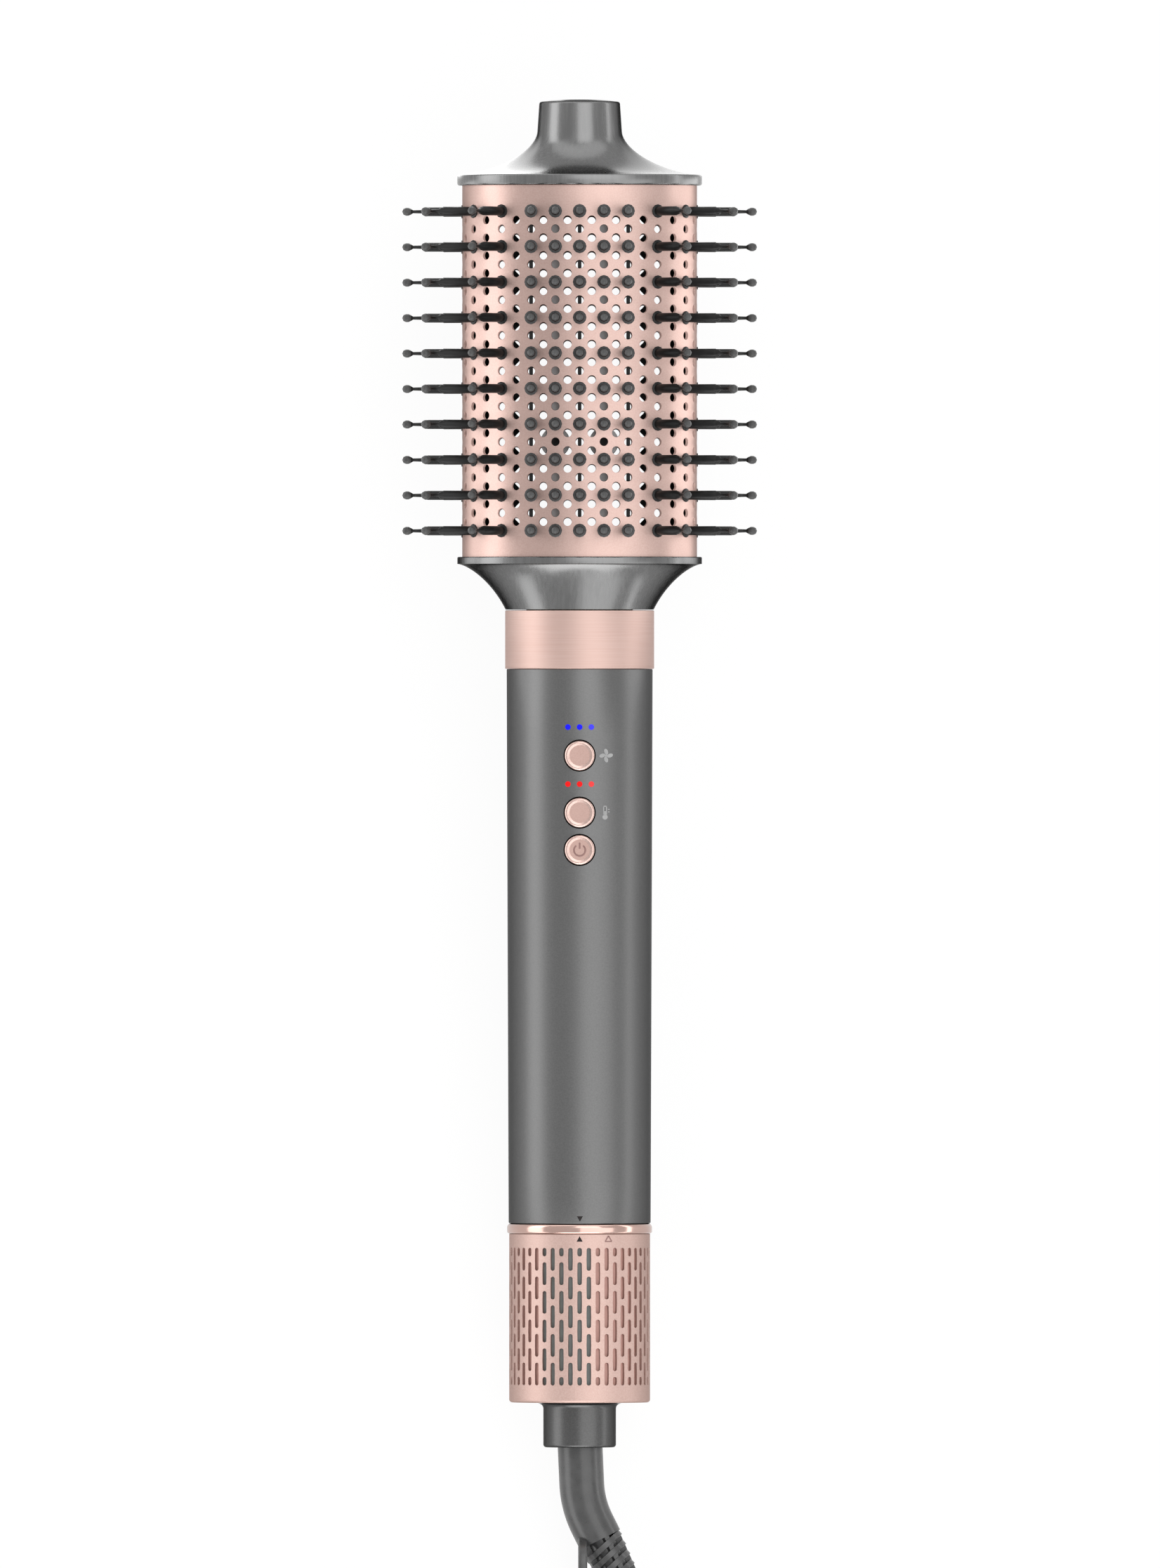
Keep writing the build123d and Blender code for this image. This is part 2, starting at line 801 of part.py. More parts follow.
def swivel_collar():
    """The collar turns on the stem, held by a lip that snaps into the stem's groove."""
    bore = stem_radius + running
    lip = stem_radius - groove_depth + running
    lip_low = groove_y - groove_height / 2 + free_gap
    lip_high = groove_y + groove_height / 2 - free_gap
    mouth = boot_diameter / 2 + 2 * free_gap
    floor_top = collar_bottom + collar_floor
    edge = collar_floor / 2
    return turned((mouth, collar_bottom), (collar_radius - edge, collar_bottom),
                  (collar_radius, collar_bottom + edge), (collar_radius, collar_top - 2 * collar_lip_height),
                  (collar_top_radius, collar_top - collar_lip_height / 2), (collar_top_radius, collar_top),
                  (bore, collar_top), (bore, lip_high), (lip, lip_high), (lip, lip_low), (bore, lip_low),
                  (bore, floor_top), (mouth, floor_top))


def down(angle):
    """The direction that leans from straight down the tool towards +X by an angle."""
    return Vector(sin(radians(angle)), -cos(radians(angle)), 0)


boot_corner = Vector(0, stem_bottom_y, 0) + down(boot_lean) * boot_straight
relief_start = boot_corner + down(boot_bend_angle) * boot_end


def cord_boot():
    """The smooth rubber tube that leads the cord out of the swivel and bends with it."""
    root = Vector(0, stem_bottom_y, 0) - down(boot_lean) * stem_radius
    path = FilletPolyline(root, boot_corner, relief_start, radius=boot_bend_radius)
    tube = sweep(Plane(origin=path @ 0, z_dir=path % 0) * Circle(boot_diameter / 2), path=path)
    reach = boot_straight + boot_diameter
    return tube & block(-reach, reach, stem_bottom_y - 2 * reach, stem_bottom_y, -reach, reach)


def relief_rib_radius(n):
    return (boot_diameter + (relief_end_diameter - boot_diameter) * (n + 0.5) / relief_ribs) / 2


relief_plane = Plane(origin=relief_start, z_dir=down(boot_bend_angle))


def relief_ring(radius, along):
    """The corners of the strain relief's section at a distance from its start."""
    turns = [2 * pi * n / relief_sides for n in range(relief_sides)]
    corners = [Vector(radius * cos(turn), radius * sin(turn), along) for turn in turns]
    return [relief_plane.from_local_coords(corner) for corner in corners]


def strain_relief():
    """The tapered ribbed sleeve at the end of the boot."""
    rings = []
    for n in range(relief_ribs):
        rib = relief_rib_radius(n)
        core = rib * relief_core_share
        low = n * relief_rib_pitch
        groove = low + relief_rib_length
        rings += [relief_ring(rib, low), relief_ring(rib, groove),
                  relief_ring(core, groove), relief_ring(core, low + relief_rib_pitch)]
    return stack(rings)


def hanging_loop():
    """A flat eyelet moulded against the boot and the strain relief, for hanging the tool up."""
    middle = (loop_from + loop_to) / 2
    length = loop_from - loop_to
    plane = Plane(origin=(loop_side_shift, middle, 0), x_dir=(0, 1, 0), z_dir=(1, 0, 0))
    corner = loop_width / 2 - slip
    outside = plane * RectangleRounded(length, loop_width, corner)
    inside = plane * RectangleRounded(length - 2 * loop_bar, loop_width - 2 * loop_bar, corner - loop_bar)
    ring = extrude(outside, loop_thickness / 2, both=True) - extrude(inside, loop_thickness, both=True)
    reach = relief_ribs * relief_rib_pitch
    sleeve = stack([relief_ring(relief_rib_radius(0), -reach), relief_ring(relief_rib_radius(0), reach)])
    return ring - sleeve - cord_boot()


# Laying the tool down

pin_tip = half_depth + pin_reach
cover_rest = cover_diameter / 2 * cos(pi / cover_flats)
tilt = atan((pin_tip - cover_rest) / (rows[0] - cover_edge))
lift = cover_rest * cos(tilt) - cover_edge * sin(tilt)


def laid(piece):
    return Pos(0, 0, lift) * Rot(degrees(tilt), 0, 0) * piece


def laid_point(point):
    x, y, z = point
    return Vector(x, y * cos(tilt) - z * sin(tilt), y * sin(tilt) + z * cos(tilt) + lift)


# Mains cord. It lies on the table from the strain relief to a flat coil of two layers, which a tie holds.

relief_end = laid_point(relief_start + down(boot_bend_angle) * relief_ribs * relief_rib_pitch)
cord_radius = cord_diameter / 2
coil_low = tie_thickness + cord_radius * cos(pi / cord_sides)
coil_inner_radius = coil_outer_radius - coil_step * coil_flat_turns
layer_turns = coil_flat_turns + 0.5
coil_turns_in_all = coil_layers * layer_turns - 0.5


def coil_point(turns):
    """A place on the coil's line after a number of turns.

    Each layer winds in or out at a steady rate, and the line climbs to the next layer in the half turn where
    it reverses."""
    layer = int(turns / layer_turns)
    along = turns - layer * layer_turns
    inward = layer % 2 == 0
    climb = max(0, along - coil_flat_turns)
    reach = coil_step * (along - 2 * climb ** 2)
    radius = coil_outer_radius - reach if inward else coil_inner_radius + reach
    height = coil_low + coil_layer_step * (layer + (1 - cos(2 * pi * climb)) / 2)
    angle = -2 * pi * turns
    return Vector(coil_centre[0] + radius * cos(angle), coil_centre[1] + radius * sin(angle), height)


def coil_heading(turns):
    small = 1e-4
    start = max(0, turns - small)
    return (coil_point(start + 2 * small) - coil_point(start)).normalized()


def biarc(start, start_heading, end, end_heading):
    """Two arcs that join smoothly, from one place and heading to another."""
    across = end - start
    both = start_heading + end_heading
    lean = 2 * (1 - start_heading.dot(end_heading))
    sway = across.dot(both)
    reach = (sqrt(sway ** 2 + lean * across.dot(across)) - sway) / lean
    first_corner = start + start_heading * reach
    middle = (first_corner + end - end_heading * reach) / 2
    return [Edge.make_tangent_arc(start, start_heading, middle),
            Edge.make_tangent_arc(middle, (middle - first_corner).normalized(), end)]


quarters = round(4 * coil_turns_in_all)
coil_knots = [coil_turns_in_all * n / quarters for n in range(quarters + 1)]
coil_start = coil_point(0) - coil_heading(0) * cord_diameter
coil_end = coil_point(coil_turns_in_all) + coil_heading(coil_turns_in_all) * cord_diameter


def cord_section(start, heading):
    """The cord's outline, with a flat facing down."""
    plane = Plane(origin=start, x_dir=(heading.Y, -heading.X, 0), z_dir=heading)
    return plane * RegularPolygon(cord_radius, cord_sides)


def cord_coil():
    edges = [Edge.make_line(coil_start, coil_point(0))]
    places = [(coil_point(turns), coil_heading(turns)) for turns in coil_knots]
    for before, after in zip(places, places[1:]):
        edges += biarc(*before, *after)
    edges.append(Edge.make_line(coil_point(coil_turns_in_all), coil_end))
    return sweep(cord_section(coil_start, coil_heading(0)), path=Wire(edges))


def least_gap():
    """The least gap between two stretches of the coil, measured on points 3 degrees apart."""
    step = 1 / 120
    places = [coil_point(step * n) for n in range(int(coil_turns_in_all / step))]
    apart = int(0.6 / step)
    return min((a - b).length for n, a in enumerate(places) for b in places[n + apart:]) - cord_diameter


relief_heading = laid_point(down(boot_bend_angle)) - laid_point(Vector())
lead_route = [relief_end, relief_end + relief_heading * lead_end_run,
              *[Vector(place) for place in lead_middle],
              coil_start - coil_heading(0) * lead_end_run, coil_start]


def lead_radii():
    """The largest arc at each corner of the lead that its two runs leave room for."""
    radii = []
    for before, corner, after in zip(lead_route, lead_route[1:], lead_route[2:]):
        run_in = corner - before
        run_out = after - corner
        half_turn = radians(run_in.get_angle(run_out)) / 2
        radii.append(0.45 * min(run_in.length, run_out.length) / tan(half_turn))
    return radii


def cord_lead():
    path = FilletPolyline(*lead_route, radius=lead_radii())
    outline = cord_section(path @ 0, path % 0)
    tube = sweep(outline, path=path)
    print("cord lead: radii", [round(radius) for radius in lead_radii()], "length", round(path.length, 1),
          "volume over section times length", round(tube.volume / (outline.area * path.length), 4))
    return tube


def cord_tie():
    """A strap round the turns, at the side of the coil away from the tool."""
    near = coil_inner_radius - cord_radius - tie_gap
    far = coil_outer_radius + cord_radius + tie_gap
    top = coil_low + coil_layer_step * (coil_layers - 1) + cord_radius + tie_gap
    x, y = coil_centre
    half = tie_width / 2
    wall = tie_thickness
    outside = block(x - half, x + half, y - far - wall, y - near + wall, 0, top + wall)
    return outside - block(x - tie_width, x + tie_width, y - far, y - near, wall, top)


plug_frame = Plane(origin=coil_end, x_dir=(1, 0, 0), z_dir=coil_heading(coil_turns_in_all))


def plug_ring(along, wide, high):
    """The corners of the plug's section at a place along it: a rectangle with its corners cut off."""
    cut = min(wide, high) * (2 - sqrt(2))
    quarter_corners = ((wide, high - cut), (wide - cut, high))
    corners = [(x, y) for x, y in quarter_corners] + [(-x, y) for x, y in reversed(quarter_corners)]
    corners += [(-x, -y) for x, y in corners]
    return [plug_frame.from_local_coords(Vector(x, y, along)) for x, y in corners]


def plug_body():
    """The moulded plug, drawn from its neck, where the cord enters, to its flat face."""
    neck = plug_neck_diameter / 2
    wide = plug_width / 2
    high = coil_end.Z
    shoulder = plug_neck_length + plug_shoulder_length
    return stack([plug_ring(0, neck, neck), plug_ring(plug_neck_length, neck, neck),
                  plug_ring(shoulder, wide, high), plug_ring(plug_length, wide, high)])


def plug_pins():
    one = Pos(0, 0, plug_length + plug_pin_length / 2) * Cylinder(plug_pin_radius, plug_pin_length)
    return plug_frame * (Part() + [Pos(x, 0, 0) * one for x in (-plug_pin_spacing / 2, plug_pin_spacing / 2)])


nodes = {
    "end_cap": end_cap(),
    "barrel": barrel(),
    **{f"pin_strip_{n + 1:02d}": pin_strip(n) for n in range(columns)},
    "core_front": core_half(1),
    "core_back": core_half(-1),
    "core_screws": core_screws(),
    "head_base": head_base(),
    "front_ring": front_ring(),
    "handle_tube": handle_tube(),
    "fan_button": button(fan_button_y),
    "heat_button": button(heat_button_y),
    "power_button": button(power_button_y),
    "button_guide": button_guide(),
    "fan_lights": Part() + light_rods(fan_button_y),
    "heat_lights": Part() + light_rods(heat_button_y),
    "control_board": control_board(),
    "switches": switches(),
    "fan_shroud": fan_shroud(),
    "motor": motor(),
    "motor_sleeve": motor_sleeve(),
    "impeller": impeller(),
    "heater_sleeve": heater_sleeve(),
    "heater_former": heater_former(),
    "heater_coil": heater_coil(),
    "thermal_cutout": thermal_cutout(),
    "trim_ring": trim_ring(),
    "filter_cover": filter_cover(),
    "inlet_cage": inlet_cage(),
    "inlet_screen": inlet_screen(),
    "tail_plate": tail_plate(),
    "swivel_collar": swivel_collar(),
    "cord_boot": cord_boot(),
    "strain_relief": strain_relief(),
    "hanging_loop": hanging_loop(),
}

cord = {
    "cord_lead": cord_lead(),
    "cord_coil": cord_coil(),
    "cord_tie": cord_tie(),
    "plug_body": plug_body(),
    "plug_pins": plug_pins(),
}

# The origin is under the middle of the tool itself, on the table.
on_table = {name: laid(piece) for name, piece in nodes.items()}
low_end = on_table["strain_relief"].bounding_box().min.Y
high_end = on_table["end_cap"].bounding_box().max.Y
origin_y = (low_end + high_end) / 2
print("tilt", round(degrees(tilt), 4), "lift", round(lift, 4), "origin y", round(origin_y, 4))
print("coil: least gap to itself", round(least_gap(), 2))

os.makedirs("parts", exist_ok=True)
for name, piece in {**on_table, **cord}.items():
    export_step(Pos(0, -origin_y, 0) * piece, f"parts/{name}.step")
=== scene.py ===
import json
from math import acos, asin, atan2, cos, floor, hypot, pi, radians, sin, sqrt, tan

import bmesh
import bpy
from mathutils import Matrix, Vector


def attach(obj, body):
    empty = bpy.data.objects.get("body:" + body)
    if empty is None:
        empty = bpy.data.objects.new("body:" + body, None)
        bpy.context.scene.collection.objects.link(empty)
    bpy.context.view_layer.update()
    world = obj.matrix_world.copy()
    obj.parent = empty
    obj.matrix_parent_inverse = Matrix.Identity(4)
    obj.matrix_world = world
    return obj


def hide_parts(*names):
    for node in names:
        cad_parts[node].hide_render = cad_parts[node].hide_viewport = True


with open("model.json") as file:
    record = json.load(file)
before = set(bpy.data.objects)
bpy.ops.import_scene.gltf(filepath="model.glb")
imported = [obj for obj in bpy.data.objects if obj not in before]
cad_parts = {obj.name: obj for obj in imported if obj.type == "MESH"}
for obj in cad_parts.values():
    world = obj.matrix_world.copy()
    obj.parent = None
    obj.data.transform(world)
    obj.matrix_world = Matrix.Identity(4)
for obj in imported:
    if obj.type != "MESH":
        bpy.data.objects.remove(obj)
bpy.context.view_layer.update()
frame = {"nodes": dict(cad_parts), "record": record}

# A hot-air brush lying on its back on a pale floor. Pieces are drawn in millimetres on the tool's own axes: X to
# the right, Y from the cord to the tip, Z out of the side with the buttons. They are then laid on the floor.

tilt = radians(4.7745)
lift = 19.1501
origin_y = 143.4977
lay_down = (Matrix.Translation((0, -origin_y / 1000, lift / 1000)) @ Matrix.Rotation(tilt, 4, "X")
            @ Matrix.Scale(0.001, 4))

# Places along the tool
cover_top = 46.2
trim_top = 49.1
handle_top = 200.8
ring_top = 216.9
base_bottom = 217.1
barrel_bottom = 231.5
barrel_top = 333.2
cap_flare_bottom = 336.2
knob_bottom = 347.9
tip = 356.8

# Head
half_width = 32.15
half_depth = 22.5
line_points = 720
barrel_wall = 0.8
rim_overhang = 1.35
base_rim_height = 1.9
row_margin = 7.15
pin_rows = 10
row_pitch = (barrel_top - barrel_bottom - 2 * row_margin) / (pin_rows - 1)
first_row = barrel_bottom + row_margin
rows = [first_row + row_pitch * n for n in range(pin_rows)]
front_pitch = 6.65
side_angles = (32, 56, 90)
side_columns = 5
vent_radius = 1.2
pin_reach = 16.65
side_pin_reach = 16.45
neck_reach = 13.9
outward_lean = 1.14
spine_width = 1.0
spine_depth = 4.5
spine_margin = 2.3
spine_gap = 2.0
plate_depth = 5.5
tooth_thickness = 1.2
knob_dome = 0.65
knob_radius = 11.05
knob_low_radius = 11.6

# Handle
handle_low_radius = 19.45
handle_high_radius = 20.0
handle_wall = 2.6
handle_edge = 0.12
handle_band = 0.25
handle_row = 12
handle_columns = 66
hole_square = 6.0
ring_radius = 20.4
ring_bore = 19.1
button_radius = 4.15
button_hole = 4.42
button_stand = 0.4
dish_radius = 2.8
fan_y = 177.1
heat_y = 161.5
power_y = 151.3
light_rise = 7.8
light_pitch = 3.2
symbol_x = 7.25
open_mark_x = 7.9
print_height = 0.02

# Tail
trim_radius = 19.85
trim_bore = 17.4
cover_radius = 19.28
cover_wall = 0.65
cover_floor = 1.4
cover_lip = 0.25
cover_edge = 0.8
cover_bore = 10.8
lining_gap = 0.08
lining_wall = 0.45
slot_columns = 48
slot_step = 3.925
slot_width = 1.28
slot_bridge = 1.6
slot_steps = 10
slot_field_low = 4.0
open_slots_from = radians(-33.75)
open_slots_to = radians(11.25)
collar_top = -0.3
collar_radius = 9.95
collar_flare = 1.4
collar_bottom = -12.3
boot_root = Vector((0, -9.1, 0))
boot_corner = Vector((0.829, -28.08, 0))
relief_start = Vector((4.411, -35.235, 0))
relief_lean = Vector((0.4478, -0.8942, 0))
boot_radius = 6.15
boot_bend = 28.0
relief_length = 36.8
relief_plain = 2.6
relief_ribs = 12
relief_end_radius = 4.3
relief_pitch = (relief_length - relief_plain) / relief_ribs
rib_half = relief_pitch * 0.29
rib_slant = radians(16)
web_half = 0.7
loop_top = -36.0
loop_bottom = -64.0
loop_width = 19.0
loop_bar = 3.4
loop_thickness = 2.5
loop_x = 0.85

# Cord, as it lies, in millimetres before the shift of the origin
cord_radius = 3.4
relief_end = Vector((20.8884, -67.9036, 13.4785))
relief_heading = Vector((0.44776, -0.89105, -0.07442))
lead_middle = ((31.4, -88.5, 10.8), (36.9, -100.3, 7.8), (41.0, -112.5, 5.0))
coil_centre = Vector((-12.0, -142.0, 0))
coil_radius = 54.0
coil_inner_radius = 28.1
coil_step = 7.4
coil_flat_turns = 3.5
coil_turns = 7.5
coil_low = 3.7445
points_per_turn = 24
tie_width = 9.0
tie_thickness = 0.8
tie_gap = 0.6
tie_corners = (2.2, 3.0)
plug_neck = 24.0
plug_shoulder = 12.0
plug_length = 62.0
plug_half_width = 18.0


# Colours and materials

def linear(code):
    """A colour as it is written on a screen, such as "C08070", turned to linear light."""
    parts = [int(code[n:n + 2], 16) / 255 for n in (0, 2, 4)]
    return (*[c / 12.92 if c <= 0.04045 else ((c + 0.055) / 1.055) ** 2.4 for c in parts], 1.0)


def add_node(tree, kind, values=None, links=None, **settings):
    """Adds a node with its settings, the values of its inputs, and the nodes or outputs that feed them."""
    node = tree.nodes.new(kind)
    for key, value in settings.items():
        setattr(node, key, value)
    for key, value in (values or {}).items():
        node.inputs[key].default_value = value
    for key, source in (links or {}).items():
        output = source.outputs[0] if isinstance(source, bpy.types.Node) else source
        tree.links.new(output, node.inputs[key])
    return node


def new_material(name, metallic=0.0, specular=0.5, edge=1.0):
    """A material, its tree and its shader. The edge is how bright it stays where it is seen at a flat angle."""
    material = bpy.data.materials.new(name)
    material.use_nodes = True
    shader = material.node_tree.nodes["Principled BSDF"]
    shader.inputs["Metallic"].default_value = metallic
    shader.inputs["Specular IOR Level"].default_value = specular
    shader.inputs["Specular Tint"].default_value = (edge, edge, edge, 1)
    return material, material.node_tree, shader


def along_tool(tree, stretch=(1, 1, 1)):
    """Places on the object in the tool's own millimetres, times a stretch."""
    place = add_node(tree, "ShaderNodeTexCoord").outputs["Object"]
    straight = add_node(tree, "ShaderNodeMapping", {
        "Location": lay_down.inverted().translation, "Rotation": (-tilt, 0, 0), "Scale": (1000, 1000, 1000)},
        {"Vector": place})
    return add_node(tree, "ShaderNodeMapping", {"Scale": stretch}, {"Vector": straight})


def vary(tree, shader, place, scale, shades, roughness, detail):
    """Varies the base colour between two shades, and the roughness between two values, with noise."""
    noise = add_node(tree, "ShaderNodeTexNoise", {"Scale": scale, "Detail": detail}, {"Vector": place})
    spread = add_node(tree, "ShaderNodeMapRange", {"From Min": 0.3, "From Max": 0.7}, {"Value": noise})
    mix = add_node(tree, "ShaderNodeMix", {6: linear(shades[0]), 7: linear(shades[1])}, {0: spread},
                   data_type="RGBA")
    rough = add_node(tree, "ShaderNodeMapRange", {"To Min": roughness[0], "To Max": roughness[1]},
                     {"Value": spread})
    tree.links.new(mix.outputs[2], shader.inputs["Base Color"])
    tree.links.new(rough.outputs[0], shader.inputs["Roughness"])
    return spread


def bump(tree, shader, height, depth, strength):
    """Raises the surface by a pattern, depth metres from its lowest to its highest."""
    node = add_node(tree, "ShaderNodeBump", {"Strength": strength, "Distance": depth}, {"Height": height})
    tree.links.new(node.outputs[0], shader.inputs["Normal"])


def grained(parts, shades, roughness, cloud, grain, detail, depth, strength):
    """Clouds of shade and sheen, and a raised grain. Cloud and grain are how many there are to a millimetre."""
    material, tree, shader = parts
    place = along_tool(tree)
    vary(tree, shader, place, cloud, shades, roughness, detail)
    pattern = add_node(tree, "ShaderNodeTexNoise", {"Scale": grain, "Detail": detail}, {"Vector": place})
    bump(tree, shader, pattern, depth, strength)
    return material


def satin_paint(name, shades, roughness, metallic, edge):
    """Metal flakes or a blasted metal under a satin finish: a fine glinting grain and a soft broad sheen."""
    # Real flakes are too fine to show, so the grain is drawn at about 0.4 mm
    return grained(new_material(name, metallic, edge=edge), shades, roughness, 2.5, 2.8, 2.0, 0.00001, 0.5)


def brushed(name, shades, roughness, metallic, stretch, edge=1.0):
    """Metal brushed one way: long fine lines that draw the reflections out across them."""
    material, tree, shader = new_material(name, metallic, edge=edge)
    lines = vary(tree, shader, along_tool(tree, stretch), 1.0, shades, roughness, 5.0)
    bump(tree, shader, lines, 0.00001, 0.4)
    return material


def moulded(name, shades, roughness, grain=1.5, depth=0.00001, specular=0.5):
    """Moulded plastic: even colour with a fine spark-eroded grain."""
    return grained(new_material(name, specular=specular), shades, roughness, 0.4, grain, 3.0, depth, 0.6)


def lit(name, colour, pale):
    """A light guide of tinted plastic, lit from behind. The third of a row glows paler."""
    material, tree, shader = new_material(name, specular=0.1)
    across = add_node(tree, "ShaderNodeSeparateXYZ", links={0: along_tool(tree)})
    third = add_node(tree, "ShaderNodeMapRange", {"From Min": 1.5, "From Max": 1.7}, {"Value": across})
    glow = add_node(tree, "ShaderNodeMix", {6: linear(colour), 7: linear(pale)}, {0: third}, data_type="RGBA")
    tree.links.new(glow.outputs[2], shader.inputs["Emission Color"])
    shader.inputs["Emission Strength"].default_value = 1.0
    shader.inputs["Base Color"].default_value = linear("040404")
    shader.inputs["Roughness"].default_value = 0.45
    return material


def cap_plating_with_painted_edge_shade(*finish):
    """The head's plating on its cap, with painted shade on the knob's edges. The low flare mirrors what lies flat
    beside it.
    """
    material = brushed("brushed_plating_cap_painted_edge_shade", *finish)
    tree = material.node_tree
    place = add_node(tree, "ShaderNodeSeparateXYZ", links={0: along_tool(tree)})
    # Painted shade: the edges' reflections fade from the low flare to the knob's top
    edge = add_node(tree, "ShaderNodeMapRange", {
        "From Min": cap_flare_bottom + 0.3, "From Max": knob_bottom - 1, "To Min": 1.0, "To Max": 0.1},
        {"Value": place.outputs[1]})
    tree.links.new(edge.outputs[0], tree.nodes["Principled BSDF"].inputs["Specular Tint"])
    return material


# Anodised aluminium, blasted and then dyed rose: a bright metal with a soft, slightly grainy sheen
rose_metal = satin_paint("anodised_aluminium_rose", ("AA9089", "B29A92"), (0.35, 0.41), 1.0, 0.45)
# Satin metallic paint over moulded ABS: dark grey with a broad soft sheen
grey_paint = satin_paint("satin_paint_dark_grey", ("5B5B5B", "616161"), (0.36, 0.4), 0.95, 0.35)
# The head's ends are plated and then brushed: a lighter grey with sharper, brighter reflections
plating = (("676767", "6D6D6D"), (0.24, 0.3), 1.0, (1.2, 0.05, 1.2))
grey_plate = brushed("brushed_plating_dark_grey", *plating, 0.15)
# The cap's plating darkens its edges' reflections towards the knob, a painted shade
cap_plate_painted_edges = cap_plating_with_painted_edge_shade(*plating)
# The swivel's collar is moulded and painted darker
collar_paint = satin_paint("satin_paint_black_grey", ("4C4C4C", "545454"), (0.3, 0.36), 0.9, 0.3)
# Rose paint of the inlet cover, with an even, softer sheen
rose_paint = satin_paint("satin_paint_rose", ("AB9189", "B59D95"), (0.5, 0.56), 0.95, 0.45)
# The buttons' rims are worn smooth and their dishes are matt and a shade deeper
rose_rim = satin_paint("smooth_paint_rose", ("B1978F", "BBA39B"), (0.26, 0.32), 0.95, 0.7)
rose_dish = satin_paint("matt_paint_rose", ("9F857D", "A98F87"), (0.55, 0.6), 0.95, 0.7)
# The barrel inside and in its vents: a paler rose, matt, so that it throws back an even pink: painted light
lit_painted_rose = moulded("aluminium_rose_painted_lit", ("D8B6AC", "E2C4BB"), (0.5, 0.6))
# Rose on the blind floors of the cover's slots, matt and painted deeper: painted shade in the slots
shade_painted_rose = moulded("matt_rose_painted_shade", ("A47D74", "AE877E"), (0.6, 0.7))
# Fine screen under the open slots, too close-woven to show its wires
screen_grey = moulded("woven_screen_dark_grey", ("565A58", "626664"), (0.6, 0.7))
# Ring turned and brushed round before the paint, so that its lines run round the tool
rose_ring = brushed("brushed_paint_rose", ("AD938B", "B39B93"), (0.48, 0.52), 0.95, (0.05, 3.0, 0.05), 0.7)
# Vacuum-plated plastic trim: a mirror with a rose tint
rose_plate = brushed("plated_plastic_rose", ("B0938A", "B89D94"), (0.12, 0.18), 1.0, (0.1, 0.4, 0.1))
# Moulded nylon pins: near black and smooth, with a faint soft highlight
nylon = moulded("moulded_nylon_black", ("121212", "1A1A1A"), (0.3, 0.4), specular=0.2)
# The same nylon painted mid grey, a painted light, on the pins' balls and the front and back seats, which face the
# light
lit_painted_nylon = moulded("moulded_nylon_painted_lit", ("393939", "444444"), (0.4, 0.5), specular=0.35)
# Nylon of the works inside: matt mid grey. The cage under the cover and the tail's plate are darker
inner_plastic = moulded("moulded_nylon_grey", ("6C6C6C", "7F7F7F"), (0.5, 0.6))
dark_inner = moulded("moulded_nylon_dark_grey", ("606462", "6C706E"), (0.5, 0.6))
# The frame inside the barrel is moulded nylon painted a paler grey, a painted light against the shade in there
lit_painted_frame_nylon = moulded("grey_nylon_painted_lit", ("BCBCBC", "CCCCCC"), (0.5, 0.6))
# Its screws are painted dark grey, a painted shade for the depth of their bosses
shade_painted_screw_steel = moulded("screw_steel_painted_shade", ("4C4C4C", "545454"), (0.4, 0.5))
# Soft PVC of the boot, the strain relief, the loop and the plug: dark grey with a soft satin sheen
rubber = moulded("moulded_pvc_dark_grey", ("373737", "3F3F3F"), (0.26, 0.32), 1.2)
# The cord's jacket, extruded PVC: much the same grey, with a coarser grain
jacket = moulded("extruded_pvc_dark_grey", ("363636", "3E3E3E"), (0.28, 0.34), 0.8)
# Zinc-plated steel of the motor's can, the heater's wire and the screen: pale and softly streaked
steel = brushed("zinc_plated_steel", ("ADADB0", "C4C4C7"), (0.25, 0.38), 1.0, (0.6, 0.6, 0.6))
# Nickel-plated brass of the plug's pins: pale with a warm tint and sharper reflections
nickel = brushed("nickel_plated_brass", ("C6BFB2", "D8D1C4"), (0.18, 0.28), 1.0, (0.8, 0.2, 0.8))
# Bonded mica board: matt, flaky, straw coloured
mica = moulded("bonded_mica", ("A8946E", "C4B28C"), (0.55, 0.75), 0.9, 0.00004)
# Glass-epoxy board under green lacquer: smooth, with a clear sheen
board = moulded("lacquered_glass_epoxy", ("1A502C", "25673A"), (0.3, 0.4), 2.0)
# Light guides of tinted acrylic: they glow, and reflect almost nothing
blue_light = lit("lit_acrylic_blue", "1414FF", "4A46FF")
red_light = lit("lit_acrylic_red", "FF1414", "FF4848")
# Screen-printed ink of the symbols and the marks: flat and matt
pale_ink = moulded("printed_ink_pale", ("929292", "9E9E9E"), (0.5, 0.6), specular=0.2)
dark_ink = moulded("printed_ink_dark", ("242020", "2C2828"), (0.5, 0.6), specular=0.1)
rose_ink = moulded("printed_ink_brown", ("7A5A54", "866660"), (0.5, 0.6))

slot_materials = {
    "rose_metal": rose_metal, "grey_satin": grey_paint, "rose_satin": rose_paint, "rose_gloss": rose_plate,
    "black_nylon": nylon, "inner_plastic": inner_plastic, "steel": steel, "mica": mica, "board_green": board,
    "light_blue": blue_light, "light_red": red_light, "dark_rubber": rubber, "pin_metal": nickel}
slot_of = {part["node"]: part["material_slot"] for part in frame["record"]["subparts"]}


# Meshes

def in_scene(name, data):
    """A new object in the scene."""
    item = bpy.data.objects.new(name, data)
    bpy.context.scene.collection.objects.link(item)
    return item


def plain_mesh(points, faces=()):
    mesh = bpy.data.meshes.new("mesh")
    mesh.from_pydata([tuple(point) for point in points], [], faces)
    return mesh


